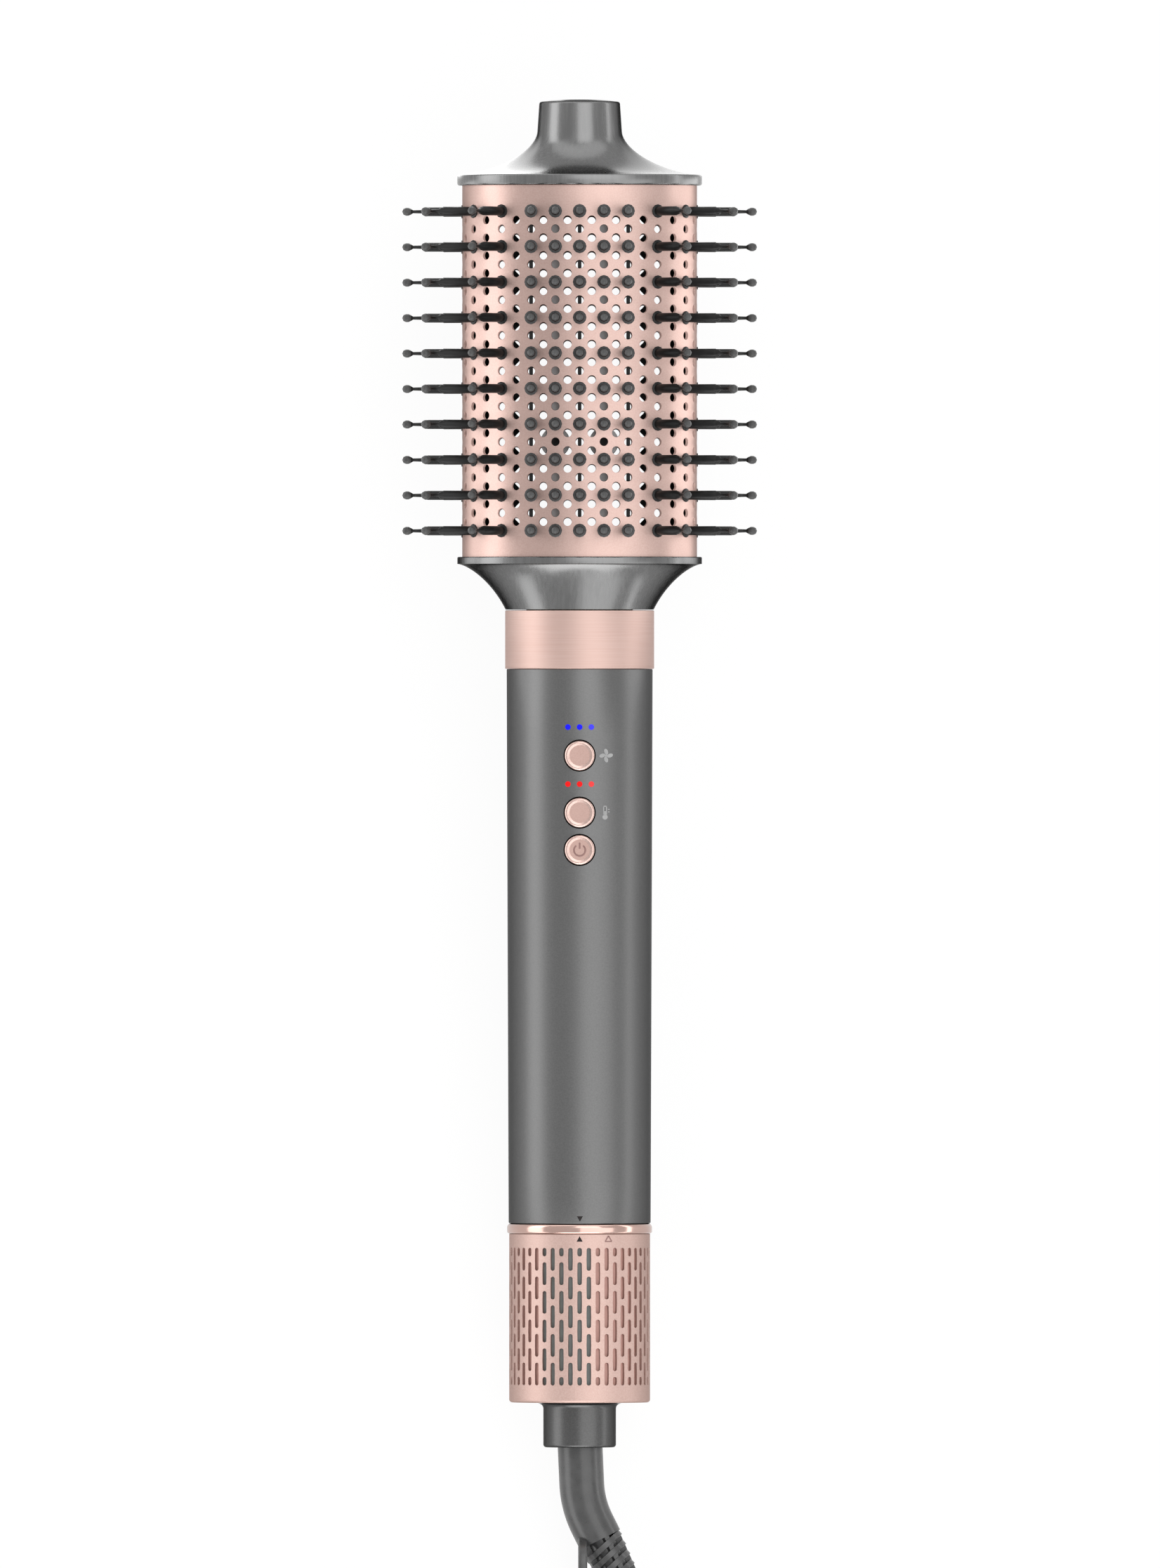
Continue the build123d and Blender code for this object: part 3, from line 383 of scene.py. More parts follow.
def worked_out(item, wall=0.0, even=False):
    """The mesh that an object comes to. A wall gives a sheet its thickness, inwards. The object is removed."""
    if wall:
        thick = item.modifiers.new("wall", "SOLIDIFY")
        thick.thickness = wall
        thick.offset = -1
        thick.use_even_offset = even
    bpy.context.view_layer.update()
    view = bpy.context.evaluated_depsgraph_get()
    mesh = bpy.data.meshes.new_from_object(item.evaluated_get(view), depsgraph=view)
    item.modifiers.clear()
    bpy.data.objects.remove(item)
    return mesh


def filleted(corners, steps=5):
    """An outline from corners given as (a, b) or (a, b, radius), with the corners rounded by their radius."""
    outline = []
    for n, (a, b, *radius) in enumerate(corners):
        here = Vector((a, b))
        if not radius:
            outline.append(here)
            continue
        radius = radius[0]
        to_last = (Vector(corners[n - 1][:2]) - here).normalized()
        to_next = (Vector(corners[(n + 1) % len(corners)][:2]) - here).normalized()
        half = acos(max(-1, min(1, to_last.dot(to_next)))) / 2
        start = here + to_last * radius / tan(half)
        end = here + to_next * radius / tan(half)
        centre = here + (to_last + to_next).normalized() * radius / sin(half)
        for step in range(steps + 1):
            spoke = (start - centre).lerp(end - centre, step / steps)
            outline.append(centre + spoke.normalized() * radius)
    return outline


def skin(rings, wrap=False, close=True):
    """A mesh through rings of points, each with as many points as the others."""
    count = len(rings[0])
    faces = []
    for n in range(len(rings) if wrap else len(rings) - 1):
        low = n * count
        high = (n + 1) % len(rings) * count
        faces += [(low + m, low + (m + 1) % count, high + (m + 1) % count, high + m) for m in range(count)]
    if close and not wrap:
        last = (len(rings) - 1) * count
        faces += [tuple(range(count))[::-1], tuple(range(last, last + count))]
    return tidied(plain_mesh([point for ring in rings for point in ring], faces))


def tidied(mesh, merge=1e-4):
    """Merges double points and turns every face outwards."""
    work = bmesh.new()
    work.from_mesh(mesh)
    bmesh.ops.remove_doubles(work, verts=work.verts, dist=merge)
    bmesh.ops.dissolve_degenerate(work, edges=work.edges, dist=merge / 10)
    bmesh.ops.recalc_face_normals(work, faces=work.faces)
    work.to_mesh(mesh)
    work.free()
    return mesh


def joined(*meshes):
    """Several meshes as one, with the first one's materials."""
    work = bmesh.new()
    result = bpy.data.meshes.new("joined")
    for material in meshes[0].materials:
        result.materials.append(material)
    for mesh in meshes:
        work.from_mesh(mesh)
        bpy.data.meshes.remove(mesh)
    work.to_mesh(result)
    work.free()
    return result


def second_material(mesh, material, belongs):
    """Gives a mesh a second material on the faces that belong to it."""
    mesh.materials.append(material)
    for face in mesh.polygons:
        if belongs(face):
            face.material_index = len(mesh.materials) - 1
    return mesh


def oval_ring(wide, deep, y, count=160):
    """A ring of points round the tool's axis, from the front centre towards +X."""
    return [(wide * sin(2 * pi * n / count), y, deep * cos(2 * pi * n / count)) for n in range(count)]


def turned(outline, count=128):
    """A closed outline of (radius, place along the tool) turned about the tool's axis."""
    return skin([oval_ring(radius, radius, y, count) for radius, y in outline], wrap=True)


def upright_rings(outline, count, y=0.0):
    """Rings of points round an axis along Z, one for each (radius, height) of an outline."""
    turns = [2 * pi * n / count for n in range(count)]
    return [[(radius * cos(turn), y + radius * sin(turn), height) for turn in turns] for radius, height in outline]


def moved(mesh, matrix):
    mesh.transform(matrix)
    return mesh


def frame_at(origin, facing, upward=(0, 1, 0)):
    """A matrix whose Z points along facing and whose Y is as near upward as it can be."""
    z = Vector(facing).normalized()
    x = Vector(upward).cross(z).normalized()
    return Matrix.Translation(origin) @ Matrix((x, z.cross(x), z)).transposed().to_4x4()


def swept(path, radii, count=32):
    """A round tube along points, with a radius at each. Its rings turn as little as they can."""
    path = [Vector(point) for point in path]
    rings = []
    for n, (point, radius) in enumerate(zip(path, radii)):
        heading = (path[min(len(path) - 1, n + 1)] - path[max(0, n - 1)]).normalized()
        if n == 0:
            side = heading.orthogonal().normalized()
        side = (side - heading * side.dot(heading)).normalized()
        other = heading.cross(side)
        rings.append([point + (side * cos(2 * pi * m / count) + other * sin(2 * pi * m / count)) * radius
                      for m in range(count)])
    return skin(rings)


def finish_piece(name, mesh, material, nodes=(), body="tool", smooth=32, laid=False):
    """Lays a mesh on the floor, gives it its material and body, and stands it in for its CAD nodes."""
    if not laid:
        mesh.transform(lay_down)
    mesh.name = name
    if not mesh.materials:
        mesh.materials.append(material)
    mesh.polygons.foreach_set("use_smooth", [True] * len(mesh.polygons))
    mesh.set_sharp_from_angle(angle=radians(smooth))
    mesh.update()
    piece = in_scene(name, mesh)
    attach(piece, body)
    if nodes:
        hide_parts(*nodes)
    return piece


# Geometry Nodes

def new_tree(name, inputs):
    """An empty tree with a geometry in and out, and named inputs. It returns the tree and its input node."""
    tree = bpy.data.node_groups.new(name, "GeometryNodeTree")
    tree.interface.new_socket("Geometry", in_out="INPUT", socket_type="NodeSocketGeometry")
    tree.interface.new_socket("Geometry", in_out="OUTPUT", socket_type="NodeSocketGeometry")
    for label, kind in inputs.items():
        tree.interface.new_socket(label, in_out="INPUT", socket_type="NodeSocket" + kind)
    return tree, add_node(tree, "NodeGroupInput")


def end_tree(tree, entry, geometry):
    """Ends a tree: its copies are made real, merged and given the material."""
    real = add_node(tree, "GeometryNodeRealizeInstances", links={"Geometry": geometry})
    merged = add_node(tree, "GeometryNodeMergeByDistance", {"Distance": 0.0005}, {"Geometry": real})
    painted = add_node(tree, "GeometryNodeSetMaterial", links={
        "Geometry": merged, "Material": entry.outputs["Material"]})
    add_node(tree, "NodeGroupOutput", links={0: painted})


def named(tree, label):
    """A vector that the points carry under a name."""
    return add_node(tree, "GeometryNodeInputNamedAttribute", {"Name": label}, data_type="FLOAT_VECTOR")


def shape_of(tree, entry, label):
    """The geometry of an object that the tree is given."""
    return add_node(tree, "GeometryNodeObjectInfo", links={"Object": entry.outputs[label]}).outputs["Geometry"]


def copies_tree():
    """Copies of a shape stand on points, each turned and stretched as its point says."""
    tree, entry = new_tree("copies_on_points", {"Shape": "Object", "Material": "Material"})
    turn = add_node(tree, "FunctionNodeAlignRotationToVector", links={"Vector": named(tree, "aim")}, axis="Z")
    copies = add_node(tree, "GeometryNodeInstanceOnPoints", links={
        "Points": entry.outputs["Geometry"], "Instance": shape_of(tree, entry, "Shape"), "Rotation": turn,
        "Scale": named(tree, "stretch")})
    end_tree(tree, entry, copies)
    return tree


def perforated_tree():
    """A flat sheet of cells, each with one hole, is joined to plain margins and rolled round a line.

    A cell's points spread from its middle: its rim by its half sizes and its shift, and its hole by a radius
    and a straight stretch."""
    tree, entry = new_tree("perforated_wall", {
        "Cell": "Object", "Margins": "Object", "Line": "Object", "Material": "Material"})
    line = shape_of(tree, entry, "Line")
    cells = add_node(tree, "GeometryNodeInstanceOnPoints", links={
        "Points": entry.outputs["Geometry"], "Instance": shape_of(tree, entry, "Cell")})
    real = add_node(tree, "GeometryNodeRealizeInstances", links={"Geometry": cells})
    spread = add_node(tree, "ShaderNodeVectorMath", links={0: named(tree, "rim"), 1: named(tree, "half_size")},
                      operation="MULTIPLY")
    for way, size in (("rim_flag", "shift"), ("arc", "hole_radius"), ("end", "hole_straight")):
        spread = add_node(tree, "ShaderNodeVectorMath", links={
            0: named(tree, way), 1: named(tree, size), 2: spread}, operation="MULTIPLY_ADD")
    flat = add_node(tree, "GeometryNodeSetPosition", links={"Geometry": real, "Offset": spread})
    sheet = add_node(tree, "GeometryNodeJoinGeometry", links={0: flat})
    tree.links.new(shape_of(tree, entry, "Margins"), sheet.inputs[0])
    position = add_node(tree, "GeometryNodeInputPosition")
    place = add_node(tree, "ShaderNodeSeparateXYZ", links={0: position})
    length = add_node(tree, "GeometryNodeCurveLength", links={"Curve": line})
    along = add_node(tree, "ShaderNodeMath", links={0: place, 1: length}, operation="FLOORED_MODULO")
    spot = add_node(tree, "GeometryNodeSampleCurve", links={"Curves": line, "Length": along}, mode="LENGTH")
    rolled = add_node(tree, "ShaderNodeVectorMath", {1: (0, 1, 0)}, {0: position, 2: spot.outputs["Position"]},
                      operation="MULTIPLY_ADD")
    wall = add_node(tree, "GeometryNodeSetPosition", links={"Geometry": sheet, "Position": rolled})
    end_tree(tree, entry, wall)
    return tree


def point_mesh(places, faces=(), **vectors):
    """Points, loose or with faces, and named vectors on them."""
    mesh = plain_mesh(places, faces)
    for label, values in vectors.items():
        layer = mesh.attributes.new(label, "FLOAT_VECTOR", "POINT")
        layer.data.foreach_set("vector", [number for value in values for number in value])
    return mesh


def grown(tree, points, inputs, wall=0.0):
    """Runs a tree on points and returns the plain mesh, with a wall where one is given."""
    item = in_scene("work", points)
    modifier = item.modifiers.new("tree", "NODES")
    modifier.node_group = tree
    for socket in tree.interface.items_tree:
        if socket.in_out == "INPUT" and socket.name in inputs:
            modifier[socket.identifier] = inputs[socket.name]
    mesh = worked_out(item, wall, even=True)
    for other in inputs.values():
        if isinstance(other, bpy.types.Object):
            bpy.data.objects.remove(other)
    mesh.materials.clear()
    mesh.materials.append(inputs["Material"])
    for label in [layer.name for layer in mesh.attributes
                  if layer.data_type == "FLOAT_VECTOR" and layer.name != "position"]:
        mesh.attributes.remove(mesh.attributes[label])
    return mesh


copies = copies_tree()
perforated = perforated_tree()


def copied(shape, places, aims, stretches, material):
    """Copies of a shape on places, each with its aim and its stretch."""
    return grown(copies, point_mesh(places, aim=aims, stretch=stretches), {"Shape": shape, "Material": material})


def holed_cell():
    """One cell: a rim of 8 points round a hole of 16, all at the middle until the tree spreads them."""
    square = [(1, 0), (1, 1), (0, 1), (-1, 1), (-1, 0), (-1, -1), (0, -1), (1, -1)]
    none = (0, 0, 0)
    turns = [2 * pi * n / 16 for n in range(16)]
    faces = [(n, (n + 1) % 8, 8 + (2 * n + 2) % 16, 8 + 2 * n + 1, 8 + 2 * n) for n in range(8)]
    return in_scene("cell", point_mesh(
        [none] * 24, faces, rim=[(x, y, 0) for x, y in square] + [none] * 16,
        rim_flag=[(1, 1, 1)] * 8 + [none] * 16, arc=[none] * 8 + [(cos(turn), sin(turn), 0) for turn in turns],
        end=[none] * 8 + [(0, 0 if n % 8 == 0 else (1 if n < 8 else -1), 0) for n in range(16)]))


def round_line(points):
    """A closed line for a sheet to be rolled round."""
    curve = bpy.data.curves.new("line", "CURVE")
    curve.dimensions = "3D"
    spline = curve.splines.new("POLY")
    spline.points.add(len(points) - 1)
    spline.points.foreach_set("co", [number for point in points for number in (*point, 1)])
    spline.use_cyclic_u = True
    return in_scene("line", curve)


def margin_sheet(strips):
    """Plain flat faces. Each strip is its edges across and its edges along."""
    points = []
    faces = []
    for across, along in strips:
        wide = len(across)
        for row in range(len(along) - 1):
            for n in range(wide - 1):
                low = len(points) + row * wide + n
                faces.append((low, low + 1, low + wide + 1, low + wide))
        points += [(x, y, 0) for y in along for x in across]
    return in_scene("margins", plain_mesh(points, faces))


def rolled_wall(cells, strips, line, material, wall):
    """A perforated wall round a line. A cell is (place across, place along, half width, half height, shift of
    its rim, radius of its hole, straight stretch of its hole either way)."""
    points = point_mesh(
        [(x, y, 0) for x, y, *_ in cells], half_size=[(cell[2], cell[3], 0) for cell in cells],
        shift=[(cell[4], 0, 0) for cell in cells], hole_radius=[(cell[5], cell[5], 0) for cell in cells],
        hole_straight=[(0, cell[6], 0) for cell in cells])
    return grown(perforated, points, {
        "Cell": holed_cell(), "Margins": margin_sheet(strips), "Line": round_line(line), "Material": material},
        wall)


# Barrel

oval = [Vector(point) for point in oval_ring(half_width, half_depth, 0, line_points)]
oval_lengths = [0.0]
for here, after in zip(oval, oval[1:] + oval[:1]):
    oval_lengths.append(oval_lengths[-1] + (after - here).length)
perimeter = oval_lengths[-1]

# The pins' columns, as turns of the oval: three at the front from the middle out, three more down to the side
quarter = [asin(n * front_pitch / half_width) for n in range(3)]
quarter += [atan2(half_width * sin(angle), half_depth * cos(angle)) for angle in map(radians, side_angles)]
half_round = quarter + [pi - turn for turn in reversed(quarter[1:-1])]
pin_turns = half_round + [pi + turn for turn in half_round]
columns = len(pin_turns)


def length_at(turn):
    """How far along the oval line a turn lies, from the front centre towards +X."""
    place = turn / (2 * pi) * line_points
    whole = int(place)
    return oval_lengths[whole] + (oval_lengths[whole + 1] - oval_lengths[whole]) * (place - whole)


def on_oval(turn, y):
    return Vector((half_width * sin(turn), y, half_depth * cos(turn)))


def oval_facing(turn):
    return Vector((half_depth * sin(turn), 0, half_width * cos(turn))).normalized()


def barrel_mesh():
    """The perforated wall: a vent or a pin's hole in each cell, and plain bands at both ends."""
    pins_at = [length_at(turn) for turn in pin_turns]
    gaps = [(pins_at[(n + 1) % columns] - pins_at[n]) % perimeter for n in range(columns)]
    half_cell = row_pitch / 4
    low = first_row - half_cell
    high = rows[-1] + half_cell
    cells = []
    strips = []
    for n, pin_at in enumerate(pins_at):
        after = gaps[n] / 4
        # The column through the pin, and the one halfway to the next pin, which starts half a cell further up
        for middle, before, start, count, edges in (
                (pin_at, gaps[n - 1] / 4, 0, 2 * pin_rows - 1, ([barrel_bottom, low], [high, barrel_top])),
                (pin_at + gaps[n] / 2, after, 0.5, 2 * pin_rows - 2,
                 ([barrel_bottom, low, first_row], [rows[-1], high, barrel_top]))):
            shift = (after - before) / 2
            cells += [(middle, first_row + row_pitch * (m + start) / 2, (before + after) / 2, half_cell, shift,
                       vent_radius, 0) for m in range(count)]
            strips += [([middle - before, middle + shift, middle + after], along) for along in edges]
    return rolled_wall(cells, strips, oval, rose_metal, barrel_wall)


def hidden_from_outside(face):
    """True for a face of the barrel's inner side or of a vent's wall."""
    outward = Vector((face.center.x / half_width ** 2, 0, face.center.z / half_depth ** 2)).normalized()
    return outward.dot(face.normal) < 0.6


# The barrel's inner side and its vents' walls get the paler rose, a painted light
finish_piece("barrel_skin", second_material(barrel_mesh(), lit_painted_rose, hidden_from_outside), rose_metal, ["barrel"],
             smooth=40)


# Pins

def pin_shape():
    """A moulded pin along Z: a stout body, a thin neck and a ball. Its foot goes through the wall."""
    outline = [(1.25, -2.6), (1.25, 9.6), (1.05, 9.8), (1.05, 10.5), (0.5, 11.2), (0.42, 13.6), (0.8, 14.2),
               (1.1, 14.9), (1.1, 15.6), (0.8, 16.3), (0.0, pin_reach)]
    return in_scene("pin", skin(upright_rings(outline, 8), close=False))


def seat_shape():
    """The thin disc round a pin's foot."""
    outline = [(1.0, -0.3), (1.83, -0.3), (1.87, 0.12), (1.7, 0.26), (1.0, 0.3)]
    return in_scene("seat", skin(upright_rings(outline, 12), wrap=True))


def plate_mesh(outline, thickness):
    """An outline of (height, place along) as a plate that stands on the tool's length."""
    return skin([[(x, y, height) for height, y in outline] for x in (-thickness / 2, thickness / 2)])


def tooth_mesh():
    """The plate under a side pin, inside the barrel. It narrows inwards, and air passes between two."""
    return plate_mesh([(-1.8, -3.5), (-5.7, -3.4), (-8.3, -2.0), (-9.0, 0), (-8.3, 2.0), (-5.7, 3.4), (-1.8, 3.5)],
                      tooth_thickness)


def spine_mesh(depth):
    """The thin rib along a column of pins, inside the barrel."""
    low = rows[0] - spine_margin
    high = rows[-1] + spine_margin
    return plate_mesh([(-spine_gap - depth, low), (-spine_gap, low), (-spine_gap, high), (-spine_gap - depth, high)],
                      spine_width)


def past_neck(face):
    """True for a face of a pin's ball, which lies beyond the thin neck."""
    across = face.center.x / (half_width + neck_reach)
    return across ** 2 + (face.center.z / (half_depth + neck_reach)) ** 2 > 1


def pin_side(side, first, seat_material):
    """One side's columns of pins, their seats, and the spines or plates inside the barrel.

    Pins point straight out at the front and the back, and square to the wall at the sides. There the outermost
    columns have plates. The columns next to the widest one lean a little further out."""
    feet = []
    seats = []
    inner = []
    for n in range(first, first + side_columns):
        place = n % columns
        across = (place + 2) % (columns // 2)
        turn = pin_turns[place]
        level = across < side_columns
        aim = Vector((0, 0, 1 if cos(turn) > 0 else -1)) if level else oval_facing(turn)
        if across in (6, 8):
            aim.x *= outward_lean
        aim.normalize()
        for y in rows:
            foot = on_oval(turn, y)
            seats.append((foot.copy(), oval_facing(turn), (1, 1, 1)))
            if level:
                foot.z = aim.z * half_depth
            feet.append((foot, aim, (1, 1, 1 if level else side_pin_reach / pin_reach)))
            if across in (5, 9):
                inner.append(moved(tooth_mesh(), frame_at(foot, aim)))
        if across not in (5, 9) and (not level or place % 2 == 0):
            spine = spine_mesh(spine_depth if level else plate_depth)
            inner.append(moved(spine, frame_at(on_oval(turn, 0), aim)))
    # The pins' balls get the nylon painted lighter, a painted light
    pins = second_material(copied(pin_shape(), *zip(*feet), nylon), lit_painted_nylon, past_neck)
    nodes = [f"pin_strip_{n % columns + 1:02d}" for n in range(first, first + side_columns)]
    finish_piece(side + "_pins", joined(pins, *inner), nylon, nodes, smooth=50)
    finish_piece(side + "_seats", copied(seat_shape(), *zip(*seats), seat_material), seat_material, smooth=50)


# The front and back seats get the nylon painted lighter, a painted light; the side seats keep the plain nylon
pin_side("front", -2, lit_painted_nylon)
pin_side("right", 3, nylon)
pin_side("back", 8, lit_painted_nylon)
pin_side("left", 13, nylon)


# Cap and base of the head

def hollow_curve(share, power):
    """A concave quarter curve that falls from 1 to 0."""
    return 1 - (1 - (1 - share) ** power) ** (1 / power)


def flare_rings(rim_y, end_y, radius, power, reach, stations=22):
    """Rings of a concave body, from the oval rim to a round end."""
    least = hollow_curve(reach, power)
    rings = []
    for n in range(stations):
        along = (n / (stations - 1)) ** 1.6
        share = (hollow_curve(along * reach, power) - least) / (1 - least)
        rings.append(oval_ring(radius + (half_width + rim_overhang - radius) * share,
                               radius + (half_depth + rim_overhang - radius) * share,
                               rim_y + (end_y - rim_y) * along))
    return rings


def rim_rings(inner_y, outer_y, edge):
    """Rings of the straight rim with both its edges rounded, from its inner side to its outer."""
    wide = half_width + rim_overhang
    deep = half_depth + rim_overhang
    step = 1 if outer_y > inner_y else -1
    rings = [oval_ring(wide - 2.5, deep - 2.5, inner_y)]
    for turn in map(radians, (0, 30, 60, 90)):
        back = edge * (1 - sin(turn))
        rings.append(oval_ring(wide - back, deep - back, inner_y + step * edge * (1 - cos(turn))))
    return rings


def end_cap_mesh():
    rings = rim_rings(barrel_top, cap_flare_bottom, 0.6)
    rings += rim_rings(cap_flare_bottom, barrel_top, 0.5)[:0:-1]
    rings += flare_rings(cap_flare_bottom, knob_bottom, knob_low_radius, 1.7, 1.0)[1:]
    shoulder = tip - knob_dome
    knob = filleted([(knob_low_radius, knob_bottom), (knob_radius, shoulder, 0.7), (0, tip)])[1:-1]
    knob += [(knob_radius * share, tip - knob_dome * share ** 2) for share in (0.75, 0.5, 0.25, 0)]
    rings += [oval_ring(radius, radius, y) for radius, y in knob]
    return skin(rings, close=False)


def head_base_mesh():
    rim_low = barrel_bottom - base_rim_height
    rings = rim_rings(barrel_bottom, rim_low, 0.3)
    rings += flare_rings(rim_low, base_bottom, ring_radius - 0.1, 1.5, 0.7)
    rings += [oval_ring(radius, radius, base_bottom) for radius in (ring_radius - 1.0, 16.0)]
    rings.append(oval_ring(half_width - 3, half_depth - 3, barrel_bottom))
    return skin(rings, wrap=True)


finish_piece("end_cap_body", end_cap_mesh(), cap_plate_painted_edges, ["end_cap"], smooth=55)
finish_piece("head_base_body", head_base_mesh(), grey_plate, ["head_base"], smooth=55)


# Handle

def handle_radius(y):
    share = (y - trim_top) / (handle_top - trim_top)
    return handle_low_radius + (handle_high_radius - handle_low_radius) * share


def handle_mesh():
    """The handle's skin, with a square of 8 by 8 faces round each button cut to a round hole, and its wall."""
    reach = asin(hole_square / handle_high_radius)
    turns = [reach * (n / 4 - 1) for n in range(9)]
    turns += [reach + (2 * pi - 2 * reach) * n / handle_columns for n in range(1, handle_columns)]
    half_high = (heat_y - power_y) / 2
    levels = [trim_top, trim_top + handle_band]
    first_rows = {}
    for y in (power_y, heat_y, fan_y):
        gap = y - half_high - levels[-1]
        if gap > 0.1:
            start = levels[-1]
            count = max(1, round(gap / handle_row))
            levels += [start + gap * n / count for n in range(1, count + 1)]
        first_rows[y] = len(levels) - 1
        levels += [y + half_high * (n / 4 - 1) for n in range(1, 9)]
    levels += [handle_top - handle_band, handle_top]
    wide = len(turns)
    points = []
    for y in levels:
        radius = handle_radius(y) - (handle_edge if y in (trim_top, handle_top) else 0.0)
        points += [(sin(turn) * radius, y, cos(turn) * radius) for turn in turns]
    holed = {(first + n, m) for first in first_rows.values() for n in range(8) for m in range(8)}
    faces = []
    for row in range(len(levels) - 1):
        for column in range(wide):
            if (row, column) not in holed:
                low = row * wide + column
                low_next = row * wide + (column + 1) % wide
                faces.append((low, low_next, low_next + wide, low + wide))
    for y, first in first_rows.items():
        loop = [(first + n, 8) for n in range(4, 8)] + [(first + 8, 8 - n) for n in range(8)]
        loop += [(first + 8 - n, 0) for n in range(8)] + [(first, n) for n in range(8)]
        loop += [(first + n, 8) for n in range(4)]
        outer = [row * wide + column for row, column in loop]
        inner = range(len(points), len(points) + len(loop))
        for n in range(len(loop)):
            after = (n + 1) % len(loop)
            x = button_hole * cos(2 * pi * n / len(loop))
            up = y + button_hole * sin(2 * pi * n / len(loop))
            points.append((x, up, sqrt(handle_radius(up) ** 2 - x ** 2)))
            faces.append((outer[n], outer[after], inner[after], inner[n]))
    return worked_out(in_scene("handle_work", tidied(plain_mesh(points, faces))), handle_wall)


finish_piece("handle_body", handle_mesh(), grey_paint, ["handle_tube"], smooth=40)
ring_low = handle_top + 0.05
ring_high = ring_top - 0.02
finish_piece("rose_ring", turned(filleted([
    (ring_bore, ring_low, 0.2), (ring_radius, ring_low, 0.25), (ring_radius, ring_high, 0.25),
    (ring_bore, ring_high, 0.2)])), rose_ring, ["front_ring"])


# Buttons and lights

def button_mesh(y):
    """A cap with a raised bright rim round a shallow dish, on its skirt."""
    top = handle_radius(y) + button_stand
    outline = filleted([(0.01, top - 0.25), (dish_radius, top - 0.22, 0.8), (3.4, top, 0.6),
                        (button_radius, top, 0.7), (button_radius, top - 3.2), (0.01, top - 3.2)])
    mesh = skin(upright_rings(outline, 64, y), wrap=True)
    mesh.materials.append(rose_rim)
    return second_material(mesh, rose_dish, lambda face: (
        face.center.z > top - 1 and hypot(face.center.x, face.center.y - y) < dish_radius))


def power_mark_mesh(y):
    """The power symbol: a broken ring with a bar, in low relief in the dish."""
    height = handle_radius(y) + button_stand - 0.35
    angles = [radians(128 + 284 * n / 24) for n in range(25)]
    arc = [(1.55 * cos(angle), y + 1.55 * sin(angle) - 0.1, height) for angle in angles]
    stroke = [(0, y + 0.35, height), (0, y + 1.95, height)]
    return joined(*[swept(path, [0.27] * len(path), 8) for path in (arc, stroke)])


def light_mesh(y):
    """Three small domes in a row across the handle."""
    radius = handle_radius(y)
    domes = []
    for x in (-light_pitch, 0, light_pitch):
        facing = Vector((x, 0, sqrt(radius ** 2 - x ** 2))).normalized()
        dome = skin(upright_rings([(0.8, -0.5), (0.78, 0.02), (0.6, 0.07), (0.3, 0.1), (0.0, 0.11)], 24),
                    close=False)
        domes.append(moved(dome, frame_at(facing * radius + Vector((0, y, 0)), facing)))
    return joined(*domes)


for name, y in (("fan_button", fan_y), ("heat_button", heat_y), ("power_button", power_y)):
    finish_piece(name + "_cap", button_mesh(y), rose_rim, [name], name, 50)
finish_piece("power_mark", power_mark_mesh(power_y), rose_ink, (), "power_button", 60)
finish_piece("blue_lights", light_mesh(fan_y + light_rise), blue_light, ["fan_lights"], smooth=60)
finish_piece("red_lights", light_mesh(heat_y + light_rise), red_light, ["heat_lights"], smooth=60)


# Printed symbols

def printed(name, outlines, material, on_cover=False):
    """Flat shapes printed on the handle or the cover, each an outline of (place across, place along)."""
    work = bmesh.new()
    for outline in outlines:
        corners = []
        for x, y in outline:
            radius = (cover_radius if on_cover else handle_radius(y)) + print_height
            corners.append(work.verts.new((x, y, sqrt(radius ** 2 - x ** 2))))
        work.faces.new(corners)
    bmesh.ops.triangulate(work, faces=work.faces)
    bmesh.ops.reverse_faces(work, faces=[face for face in work.faces if face.normal.z < 0])
    mesh = bpy.data.meshes.new(name)
    work.to_mesh(mesh)
    work.free()
    body, slot = ("filter_cover", "rose_satin") if on_cover else ("tool", "grey_satin")
    finish_piece(name, mesh, material, (), body, 60)


def disc(x, y, radius, count=20, squash=1.0, lean=0.0):
    """A round or oval outline, leaning by an angle."""
    outline = []
    for n in range(count):
        a = radius * cos(2 * pi * n / count)
        b = radius * squash * sin(2 * pi * n / count)
        outline.append((x + a * cos(lean) - b * sin(lean), y + a * sin(lean) + b * cos(lean)))
    return outline


def bar(x0, y0, x1, y1, half):
    """A straight stroke from one place to another."""
    run = hypot(x1 - x0, y1 - y0)
    ax = -(y1 - y0) / run * half
    ay = (x1 - x0) / run * half
    return [(x0 + ax, y0 + ay), (x0 - ax, y0 - ay), (x1 - ax, y1 - ay), (x1 + ax, y1 + ay)]


fan_blades = [disc(symbol_x + 1.05 * cos(angle), fan_y + 1.05 * sin(angle), 0.85, 16, 0.62, angle + 0.35)
              for angle in (0, pi / 2, pi, 3 * pi / 2)]
printed("fan_symbol", fan_blades + [disc(symbol_x, fan_y, 0.35)], pale_ink)
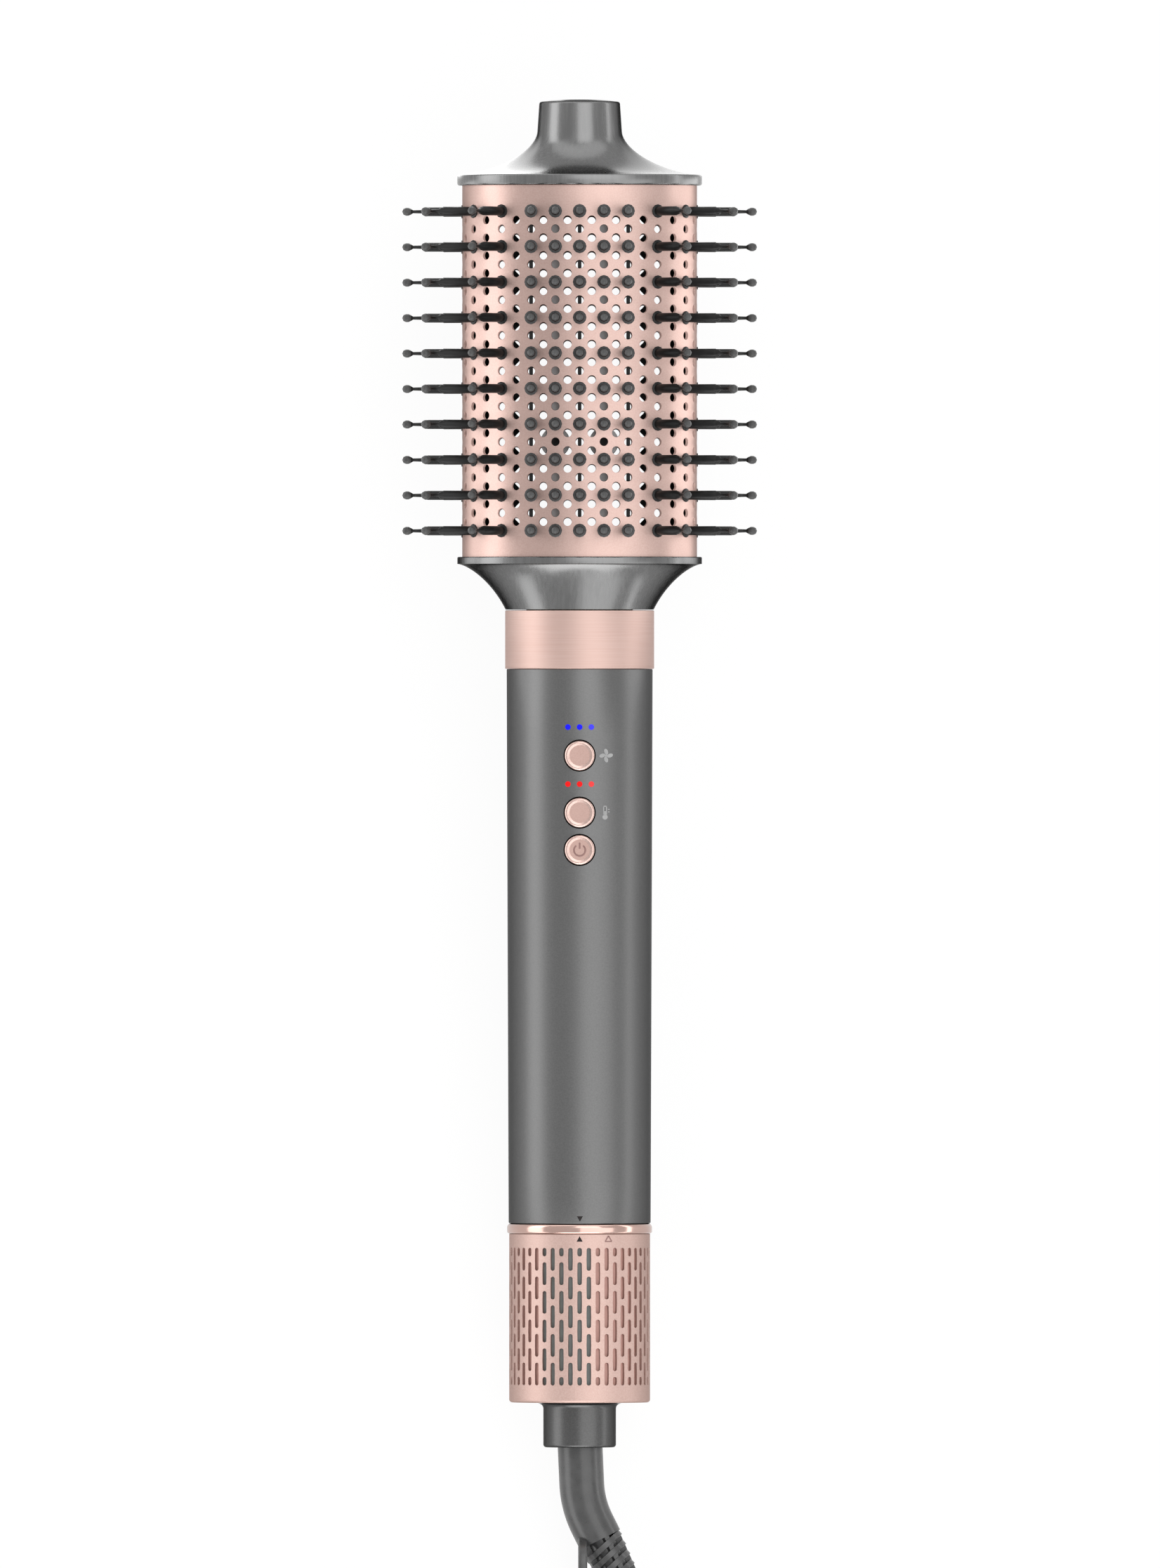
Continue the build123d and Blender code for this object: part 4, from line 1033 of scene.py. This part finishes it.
# The thermometer's strokes, from the symbol's middle: its glass, two graduations and the filled stem
thermometer = [bar(symbol_x + x0, heat_y + y0, symbol_x + x1, heat_y + y1, half) for x0, y0, x1, y1, half in (
    (-0.7, -0.5, -0.7, 1.6, 0.13), (0.1, -0.5, 0.1, 1.6, 0.13), (-0.7, 1.75, 0.1, 1.75, 0.13),
    (0.5, 0.2, 0.95, 0.2, 0.12), (0.5, 0.9, 0.95, 0.9, 0.12), (-0.3, -0.9, -0.3, 0.4, 0.4))]
printed("heat_symbol", thermometer + [disc(symbol_x - 0.3, heat_y - 1.2, 0.72)], pale_ink)
printed("handle_mark", [[(-0.75, 51.1), (0.9, 51.1), (0.08, 49.65)]], dark_ink)


# Tail

trim_low = cover_top + 0.06
trim_high = trim_top - 0.02
finish_piece("trim_ring_body", turned(filleted([
    (trim_bore, trim_low), (trim_radius, trim_low, 0.6), (trim_radius, trim_high, 1.2), (trim_bore, trim_high)],
    7)), rose_plate, ["trim_ring"])


def cover_mesh():
    """The slotted wall of the inlet cover. Its columns start with a long or a short slot in turn."""
    pitch = 2 * cover_radius * line_points * sin(pi / line_points) / slot_columns
    half_slot = slot_width / 2
    cells = []
    strips = []
    for n in range(slot_columns):
        x = pitch * n
        edges = [0, *range(2 if n % 2 else 1, slot_steps, 2), slot_steps]
        for low, high in zip(edges, edges[1:]):
            half_high = slot_step * (high - low) / 2
            cells.append((x, slot_field_low + slot_step * (low + high) / 2, pitch / 2, half_high, 0, half_slot,
                          half_high - slot_bridge / 2 - half_slot))
        across = [x - pitch / 2, x, x + pitch / 2]
        strips += [(across, [cover_edge, slot_field_low]),
                   (across, [slot_field_low + slot_steps * slot_step, cover_top - cover_lip])]
    wall = rolled_wall(cells, strips, oval_ring(cover_radius, cover_radius, 0, line_points), rose_paint,
                       cover_wall)
    inner = cover_radius - cover_wall
    lip = turned(filleted([(inner, cover_top - cover_lip), (cover_radius, cover_top - cover_lip),
                           (cover_radius, cover_top, 0.1), (inner, cover_top, 0.1)], 3))
    base = turned(filleted([(cover_bore, 0, 0.2), (cover_radius, 0, 0.8), (cover_radius, cover_edge),
                            (inner + 0.1, cover_edge), (inner + 0.1, cover_floor), (cover_bore, cover_floor)]))
    return joined(wall, lip, base)


def lining_mesh():
    """A lining close behind the slots: blind floors with painted shade, and a fine screen behind the six open
    columns.
    """
    outer = cover_radius - cover_wall - lining_gap
    inner = outer - lining_wall
    low = cover_floor + 0.2
    high = cover_top - 1.0
    ring = turned([(inner, low), (outer, low), (outer, high), (inner, high)], 192)
    # The blind floors are painted a deeper rose, a painted shade
    ring.materials.append(shade_painted_rose)
    return second_material(ring, screen_grey, lambda face: (
        open_slots_from < atan2(face.center.x, face.center.z) < open_slots_to))


finish_piece("inlet_cover", cover_mesh(), rose_paint, ["filter_cover"], "filter_cover", 40)
finish_piece("cover_lining", lining_mesh(), shade_painted_rose, (), "filter_cover", 40)
printed("shut_mark", [[(-0.85, 44.15), (0.85, 44.15), (0, 45.65)]], dark_ink, True)
printed("open_mark", [bar(open_mark_x + x0, y0, open_mark_x + x1, y1, 0.17) for x0, y0, x1, y1 in (
    (-0.9, 44.2, 0.9, 44.2), (-0.9, 44.2, 0, 45.75), (0.9, 44.2, 0, 45.75))], rose_ink, True)

collar_outline = [Vector((7.2, collar_top)), Vector((collar_radius + collar_flare, collar_top))]
collar_outline += [Vector((collar_radius + collar_flare * (1 - cos(turn)),
                           collar_top - collar_flare * (1 - sin(turn))))
                   for turn in (pi / 12 * n for n in range(5, -1, -1))]
collar_outline += filleted([(collar_radius, collar_bottom + 5), (collar_radius, collar_bottom, 0.8),
                            (6.9, collar_bottom, 0.3), (6.9, collar_bottom + 1.5), (7.2, collar_bottom + 1.5)])
finish_piece("swivel_collar_body", turned(collar_outline, 96), collar_paint, ["swivel_collar"], "swivel_collar")


def boot_mesh():
    """The boot round its middle line: straight, one smooth bend, and straight again."""
    down = (boot_corner - boot_root).normalized()
    after = relief_lean.normalized()
    cut = boot_bend * tan(down.angle(after) / 2)
    start = boot_corner - down * cut
    end = boot_corner + after * cut
    line = [boot_root - down * 1.5, boot_root, boot_root.lerp(start, 0.5)]
    for share in (n / 16 for n in range(17)):
        line.append(start.lerp(boot_corner, share).lerp(boot_corner.lerp(end, share), share))
    line.append(relief_start + after * relief_plain)
    return swept(line, [boot_radius] * len(line), 48)


def rib_shape():
    """One rib of the strain relief, of radius 1 along Z, with rounded edges."""
    outline = filleted([(0.5, -rib_half), (1.0, -rib_half, 0.1), (1.0, rib_half, 0.1), (0.5, rib_half)], 3)
    return in_scene("rib", skin(upright_rings(outline, 32), wrap=True))


def relief_mesh():
    """The strain relief: slanted ribs on a tapered core, joined by four webs along it."""
    lean = relief_lean.normalized()
    middles = []
    sizes = []
    for n in range(relief_ribs):
        middles.append(relief_start + lean * (relief_plain + relief_pitch * (n + 0.5) + rib_half))
        radius = boot_radius + (relief_end_radius - boot_radius) * (n + 0.5) / relief_ribs
        sizes.append((radius / cos(rib_slant / 2), radius / cos(rib_slant / 2), 1))
    rib_aim = Matrix.Rotation(rib_slant, 3, "Z") @ lean
    ribs = copied(rib_shape(), middles, [rib_aim] * relief_ribs, sizes, rubber)
    middle_radius = (boot_radius + relief_end_radius) / 2
    core = swept([relief_start + lean * along for along in (0, relief_length / 2, relief_length)],
                 [boot_radius * 0.64, middle_radius * 0.68, relief_end_radius * 0.8])
    webs = []
    for n in range(4):
        angle = pi / 2 * n + 0.35
        side = Vector((0, 0, 1)) * sin(angle) + lean.cross(Vector((0, 0, 1))) * cos(angle)
        across = lean.cross(side)
        rings = []
        for along, radius in ((-0.2, boot_radius * 0.98), (relief_length - 0.3, relief_end_radius * 0.99)):
            corners = ((2.0, -web_half), (radius - 0.05, -web_half), (radius - 0.05, web_half), (2.0, web_half))
            rings.append([relief_start + lean * along + side * a + across * b for a, b in corners])
        webs.append(skin(rings))
    return joined(ribs, core, *webs)


def loop_mesh():
    """A flat eyelet with rounded edges, moulded against the boot and the relief."""
    half = (loop_width - loop_bar) / 2
    low = loop_bottom + loop_width / 2
    high = loop_top - loop_width / 2
    middle = [(half * cos(turn), (high if sin(turn) > 0 else low) + half * sin(turn))
              for turn in (2 * pi * (n + 0.5) / 48 for n in range(48))]
    a, b = loop_bar / 2, loop_thickness / 2
    section = filleted([(-a, -b, 0.6), (a, -b, 0.6), (a, b, 0.6), (-a, b, 0.6)], 4)
    rings = []
    for n, (z, y) in enumerate(middle):
        before = middle[n - 1]
        after = middle[(n + 1) % len(middle)]
        heading = Vector((0, after[1] - before[1], after[0] - before[0])).normalized()
        across = heading.cross(Vector((1, 0, 0)))
        rings.append([Vector((loop_x, y, z)) + across * a + Vector((b, 0, 0)) for a, b in section])
    return skin(rings, wrap=True)


finish_piece("boot_tube", boot_mesh(), rubber, ["cord_boot"])
finish_piece("ribbed_relief", relief_mesh(), rubber, ["strain_relief"])
finish_piece("hanging_eyelet", loop_mesh(), rubber, ["hanging_loop"])


# Mains cord

def coil_point(turns):
    """A place on the coil after a number of turns. Each layer winds in or out, and climbs as it turns back."""
    layer_turns = coil_flat_turns + 0.5
    layer = floor(turns / layer_turns)
    along = turns - layer * layer_turns
    climb = max(0.0, along - coil_flat_turns)
    reach = coil_step * (along - 2 * climb ** 2)
    radius = coil_radius - reach if layer % 2 == 0 else coil_inner_radius + reach
    height = coil_low + coil_step * (layer + (1 - cos(2 * pi * climb)) / 2)
    angle = -2 * pi * turns
    return coil_centre + Vector((radius * cos(angle), radius * sin(angle), height))


lean = coil_step / (2 * pi * coil_radius)
start_heading = Vector((-lean, -1, 0)).normalized()
end_heading = Vector((-lean, 1, 0)).normalized()
coil_start = coil_point(0) - start_heading * 2 * cord_radius
coil_end = coil_point(coil_turns) + end_heading * 2 * cord_radius


def on_floor(point):
    """A place of the laid cord, in metres, in the scene's frame."""
    return Vector((point[0], point[1] - origin_y, point[2])) / 1000


def cord_curve():
    """The cord's one smooth line, from the strain relief through the lead and every turn to the plug."""
    steps = round(coil_turns * points_per_turn)
    route = [relief_end, relief_end + relief_heading * 10, *lead_middle, coil_start - start_heading * 10,
             coil_start, *[coil_point(coil_turns * n / steps) for n in range(steps + 1)], coil_end]
    curve = bpy.data.curves.new("mains_cord", "CURVE")
    curve.dimensions = "3D"
    spline = curve.splines.new("NURBS")
    spline.points.add(len(route) - 1)
    for point, place in zip(spline.points, route):
        point.co = (*on_floor(place), 1)
    spline.order_u = 3
    spline.use_endpoint_u = True
    curve.resolution_u = 4
    return curve


cord_line = cord_curve()
line_places = [vertex.co for vertex in worked_out(in_scene("cord_line", cord_line)).vertices]

cord_line.bevel_depth = cord_radius / 1000
cord_line.bevel_resolution = 4
cord_line.use_fill_caps = True
cord_line.materials.append(jacket)
mains_cord = in_scene("mains_cord", cord_line)
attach(mains_cord, "tool")
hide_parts("cord_lead", "cord_coil")


def tie_mesh():
    """A strap with rounded corners round the coil's turns."""
    x, y, _ = coil_centre
    far = y - coil_radius - cord_radius - tie_gap
    near = y - coil_inner_radius + cord_radius + tie_gap
    top = coil_low + coil_step + cord_radius + tie_gap
    loops = []
    for bulge, radius in zip((0, tie_thickness), tie_corners):
        loops.append(filleted([
            (far - bulge, tie_thickness - bulge, radius), (near + bulge, tie_thickness - bulge, radius),
            (near + bulge, top + bulge, radius), (far - bulge, top + bulge, radius)]))
    inside, outside = loops
    half = tie_width / 2
    return skin([[on_floor((x + side, a, b)) for a, b in loop]
                 for side, loop in ((-half, inside), (-half, outside), (half, outside), (half, inside))],
                wrap=True)


def plug_mesh():
    """The moulded plug: a ribbed neck, a shoulder and a flat round-edged body.

    A station is a place along, half a width, half a height and how square the ring is."""
    thick = coil_end.z - 0.1
    stations = [(0, 4.2, 4.2, 1.0), (0.6, 4.4, 4.4, 1.0)]
    for n in range(5):
        low = 2 + 4.2 * n
        rib = 4.9 + 0.35 * n
        stations += [(low, 4.3, 4.3, 1.0), (low + 0.4, rib, rib, 1.0), (low + 2.3, rib, rib, 1.0),
                     (low + 2.7, 4.5, 4.5, 1.0)]
    stations += [
        (plug_neck, 6.5, 6.4, 0.9), (plug_neck + 3, 11.0, 9.0, 0.7), (plug_neck + 7, 15.5, thick - 0.5, 0.55),
        (plug_neck + plug_shoulder, plug_half_width, thick, 0.5),
        (plug_length - 0.8, plug_half_width - 0.3, thick, 0.5),
        (plug_length, plug_half_width - 1.2, thick - 0.9, 0.5)]
    across = Vector((end_heading.y, -end_heading.x, 0))
    rings = []
    for along, wide, high, power in stations:
        ring = []
        for turn in (2 * pi * n / 64 for n in range(64)):
            a = wide * abs(cos(turn)) ** power * (1 if cos(turn) >= 0 else -1)
            b = high * abs(sin(turn)) ** power * (1 if sin(turn) >= 0 else -1)
            ring.append(on_floor(coil_end + end_heading * along + across * a + Vector((0, 0, b))))
        rings.append(ring)
    return skin(rings)


strap = finish_piece("cord_strap", tie_mesh(), nylon, ["cord_tie"], smooth=40, laid=True)
plug = finish_piece("plug_moulding", plug_mesh(), rubber, ["plug_body"], smooth=40, laid=True)


# Materials of the CAD pieces

# The frame gets painted light, and the screws painted shade
special = {"inlet_cage": dark_inner, "tail_plate": dark_inner, "core_front": lit_painted_frame_nylon,
           "core_back": lit_painted_frame_nylon, "core_screws": shade_painted_screw_steel}
for name, node in frame["nodes"].items():
    node.data.materials.clear()
    node.data.materials.append(special.get(name, slot_materials[slot_of[name]]))


# Floor, light and camera

def floor_material():
    """Matt white paper, with the object's shadow on it. The camera and glass see it nearly pure white."""
    material = bpy.data.materials.new("white_paper")
    material.use_nodes = True
    tree = material.node_tree
    tree.nodes.clear()
    place = add_node(tree, "ShaderNodeTexCoord").outputs["Object"]
    grain = add_node(tree, "ShaderNodeTexNoise", {"Scale": 40.0}, {"Vector": place})
    tone = add_node(tree, "ShaderNodeMix", {6: linear("F4F4F4"), 7: linear("FAFAFA")}, {0: grain},
                    data_type="RGBA")
    matt = add_node(tree, "ShaderNodeBsdfDiffuse", links={"Color": tone.outputs[2]})
    glow = add_node(tree, "ShaderNodeEmission", {"Color": (1, 1, 1, 1), "Strength": 1.0})
    rays = add_node(tree, "ShaderNodeLightPath").outputs
    seen = add_node(tree, "ShaderNodeMath", links={0: rays["Is Camera Ray"], 1: rays["Is Transmission Ray"]},
                    operation="MAXIMUM")
    plain = add_node(tree, "ShaderNodeMath", {1: 0.93}, {0: seen}, operation="MULTIPLY")
    mirrored = add_node(tree, "ShaderNodeMath", {1: 0.3}, {0: rays["Is Glossy Ray"]}, operation="MULTIPLY")
    share = add_node(tree, "ShaderNodeMath", links={0: plain, 1: mirrored}, operation="MAXIMUM")
    both = add_node(tree, "ShaderNodeMixShader", links={0: share, 1: matt, 2: glow})
    add_node(tree, "ShaderNodeOutputMaterial", links={0: both})
    return material


floor_mesh = plain_mesh([(-6, -6, 0), (6, -6, 0), (6, 6, 0), (-6, 6, 0)], [(0, 1, 2, 3)])
floor_mesh.materials.append(floor_material())
in_scene("floor", floor_mesh)

world = bpy.data.worlds.new("studio")
bpy.context.scene.world = world
world.use_nodes = True
tree = world.node_tree
tree.nodes.clear()
rays = add_node(tree, "ShaderNodeLightPath").outputs
seen = add_node(tree, "ShaderNodeMath", links={0: rays["Is Camera Ray"], 1: rays["Is Glossy Ray"]},
                operation="MAXIMUM")
seen_too = add_node(tree, "ShaderNodeMath", links={0: seen, 1: rays["Is Transmission Ray"]}, operation="MAXIMUM")
strength = add_node(tree, "ShaderNodeMapRange", {"To Min": 0.4, "To Max": 1.0}, {"Value": seen_too})
sky = add_node(tree, "ShaderNodeBackground", {"Color": (1, 1, 1, 1)}, {"Strength": strength})
add_node(tree, "ShaderNodeOutputWorld", links={0: sky})


def panel(name, place, away, wide, long, brightness, long_way=(0, 1, 0)):
    """A soft light panel that shines against the way called away. A brightness of 1 is that of lit white paper."""
    light = bpy.data.lights.new(name, "AREA")
    light.shape = "RECTANGLE"
    light.size = wide
    light.size_y = long
    light.energy = brightness * pi * wide * long
    lamp = in_scene(name, light)
    lamp.matrix_world = frame_at(place, away, long_way)
    lamp.visible_camera = False


# Panels along the tool: the angle from straight above towards the right, the distance, the spread of angles, both
# ends along the table and the brightness. They change where the head meets the handle and the knob the barrel
middle_height = Vector((0, 0, 0.02))
for name, angle, distance, spread, low, high, brightness in (
        ("left_head_panel", -75, 1.5, 28, 0.05, 1.6, 2.9), ("left_handle_panel", -78, 1.5, 34, -1.6, 0.05, 2.15),
        ("right_panel", 86, 1.5, 10, -1.5, 1.5, 2.8), ("overhead_panel", 28, 1.8, 54, -1.8, 0.06, 1.5),
        ("knob_panel", 14, 1.8, 40, 0.06, 1.8, 2.0)):
    away = Vector((sin(radians(angle)), 0, cos(radians(angle)))).normalized()
    place = Vector((0, (low + high) / 2, 0.02)) + away * distance
    panel(name, place, away, 2 * distance * tan(radians(spread / 2)), high - low, brightness)

# Panels beyond the tool's ends: the height of their direction, the distance, both sizes and the brightness
for name, side, angle, distance, wide, long, brightness in (
        ("tip_panel", 1, 22, 1.6, 2.4, 0.9, 1.0), ("tail_panel", -1, 20, 1.8, 1.6, 1.4, 3.4)):
    away = Vector((0, side * cos(radians(angle)), sin(radians(angle)))).normalized()
    panel(name, middle_height + away * distance, away, wide, long, brightness, (0, 0, 1))

# Panels that lie on the table beside the head, and light it from low down: their edges and the brightness
for name, left, right, low, high, brightness in (
        ("left_table_panel", -0.45, -0.1, 0.085, 0.18, 1.9), ("right_table_panel", 0.08, 0.45, 0.085, 0.2, 2.2),
        ("left_tip_panel", -0.075, -0.005, 0.198, 0.28, 2.6), ("right_tip_panel", 0.005, 0.06, 0.198, 0.28, 0.9)):
    place = ((left + right) / 2, (low + high) / 2, 0.002)
    panel(name, place, (0, 0, -1), right - left, high - low, brightness)

photo_height_mm = 429.4
photo_centre = Vector((0.1, 169.33, 0))
camera_distance = 14.5
camera_data = bpy.data.cameras.new("camera")
camera_data.sensor_width = 36
camera_data.lens = camera_data.sensor_width * camera_distance * 1000 / photo_height_mm
camera_data.clip_start = 0.5
camera_data.clip_end = 100
camera = in_scene("camera", camera_data)
aim_at = lay_down @ photo_centre
out = (lay_down.to_3x3() @ Vector((0, 0, 1))).normalized()
up = (lay_down.to_3x3() @ Vector((0, 1, 0))).normalized()
camera.matrix_world = frame_at(aim_at + out * camera_distance, out, up)
bpy.context.scene.camera = camera
bpy.context.scene.view_settings.view_transform = "Standard"
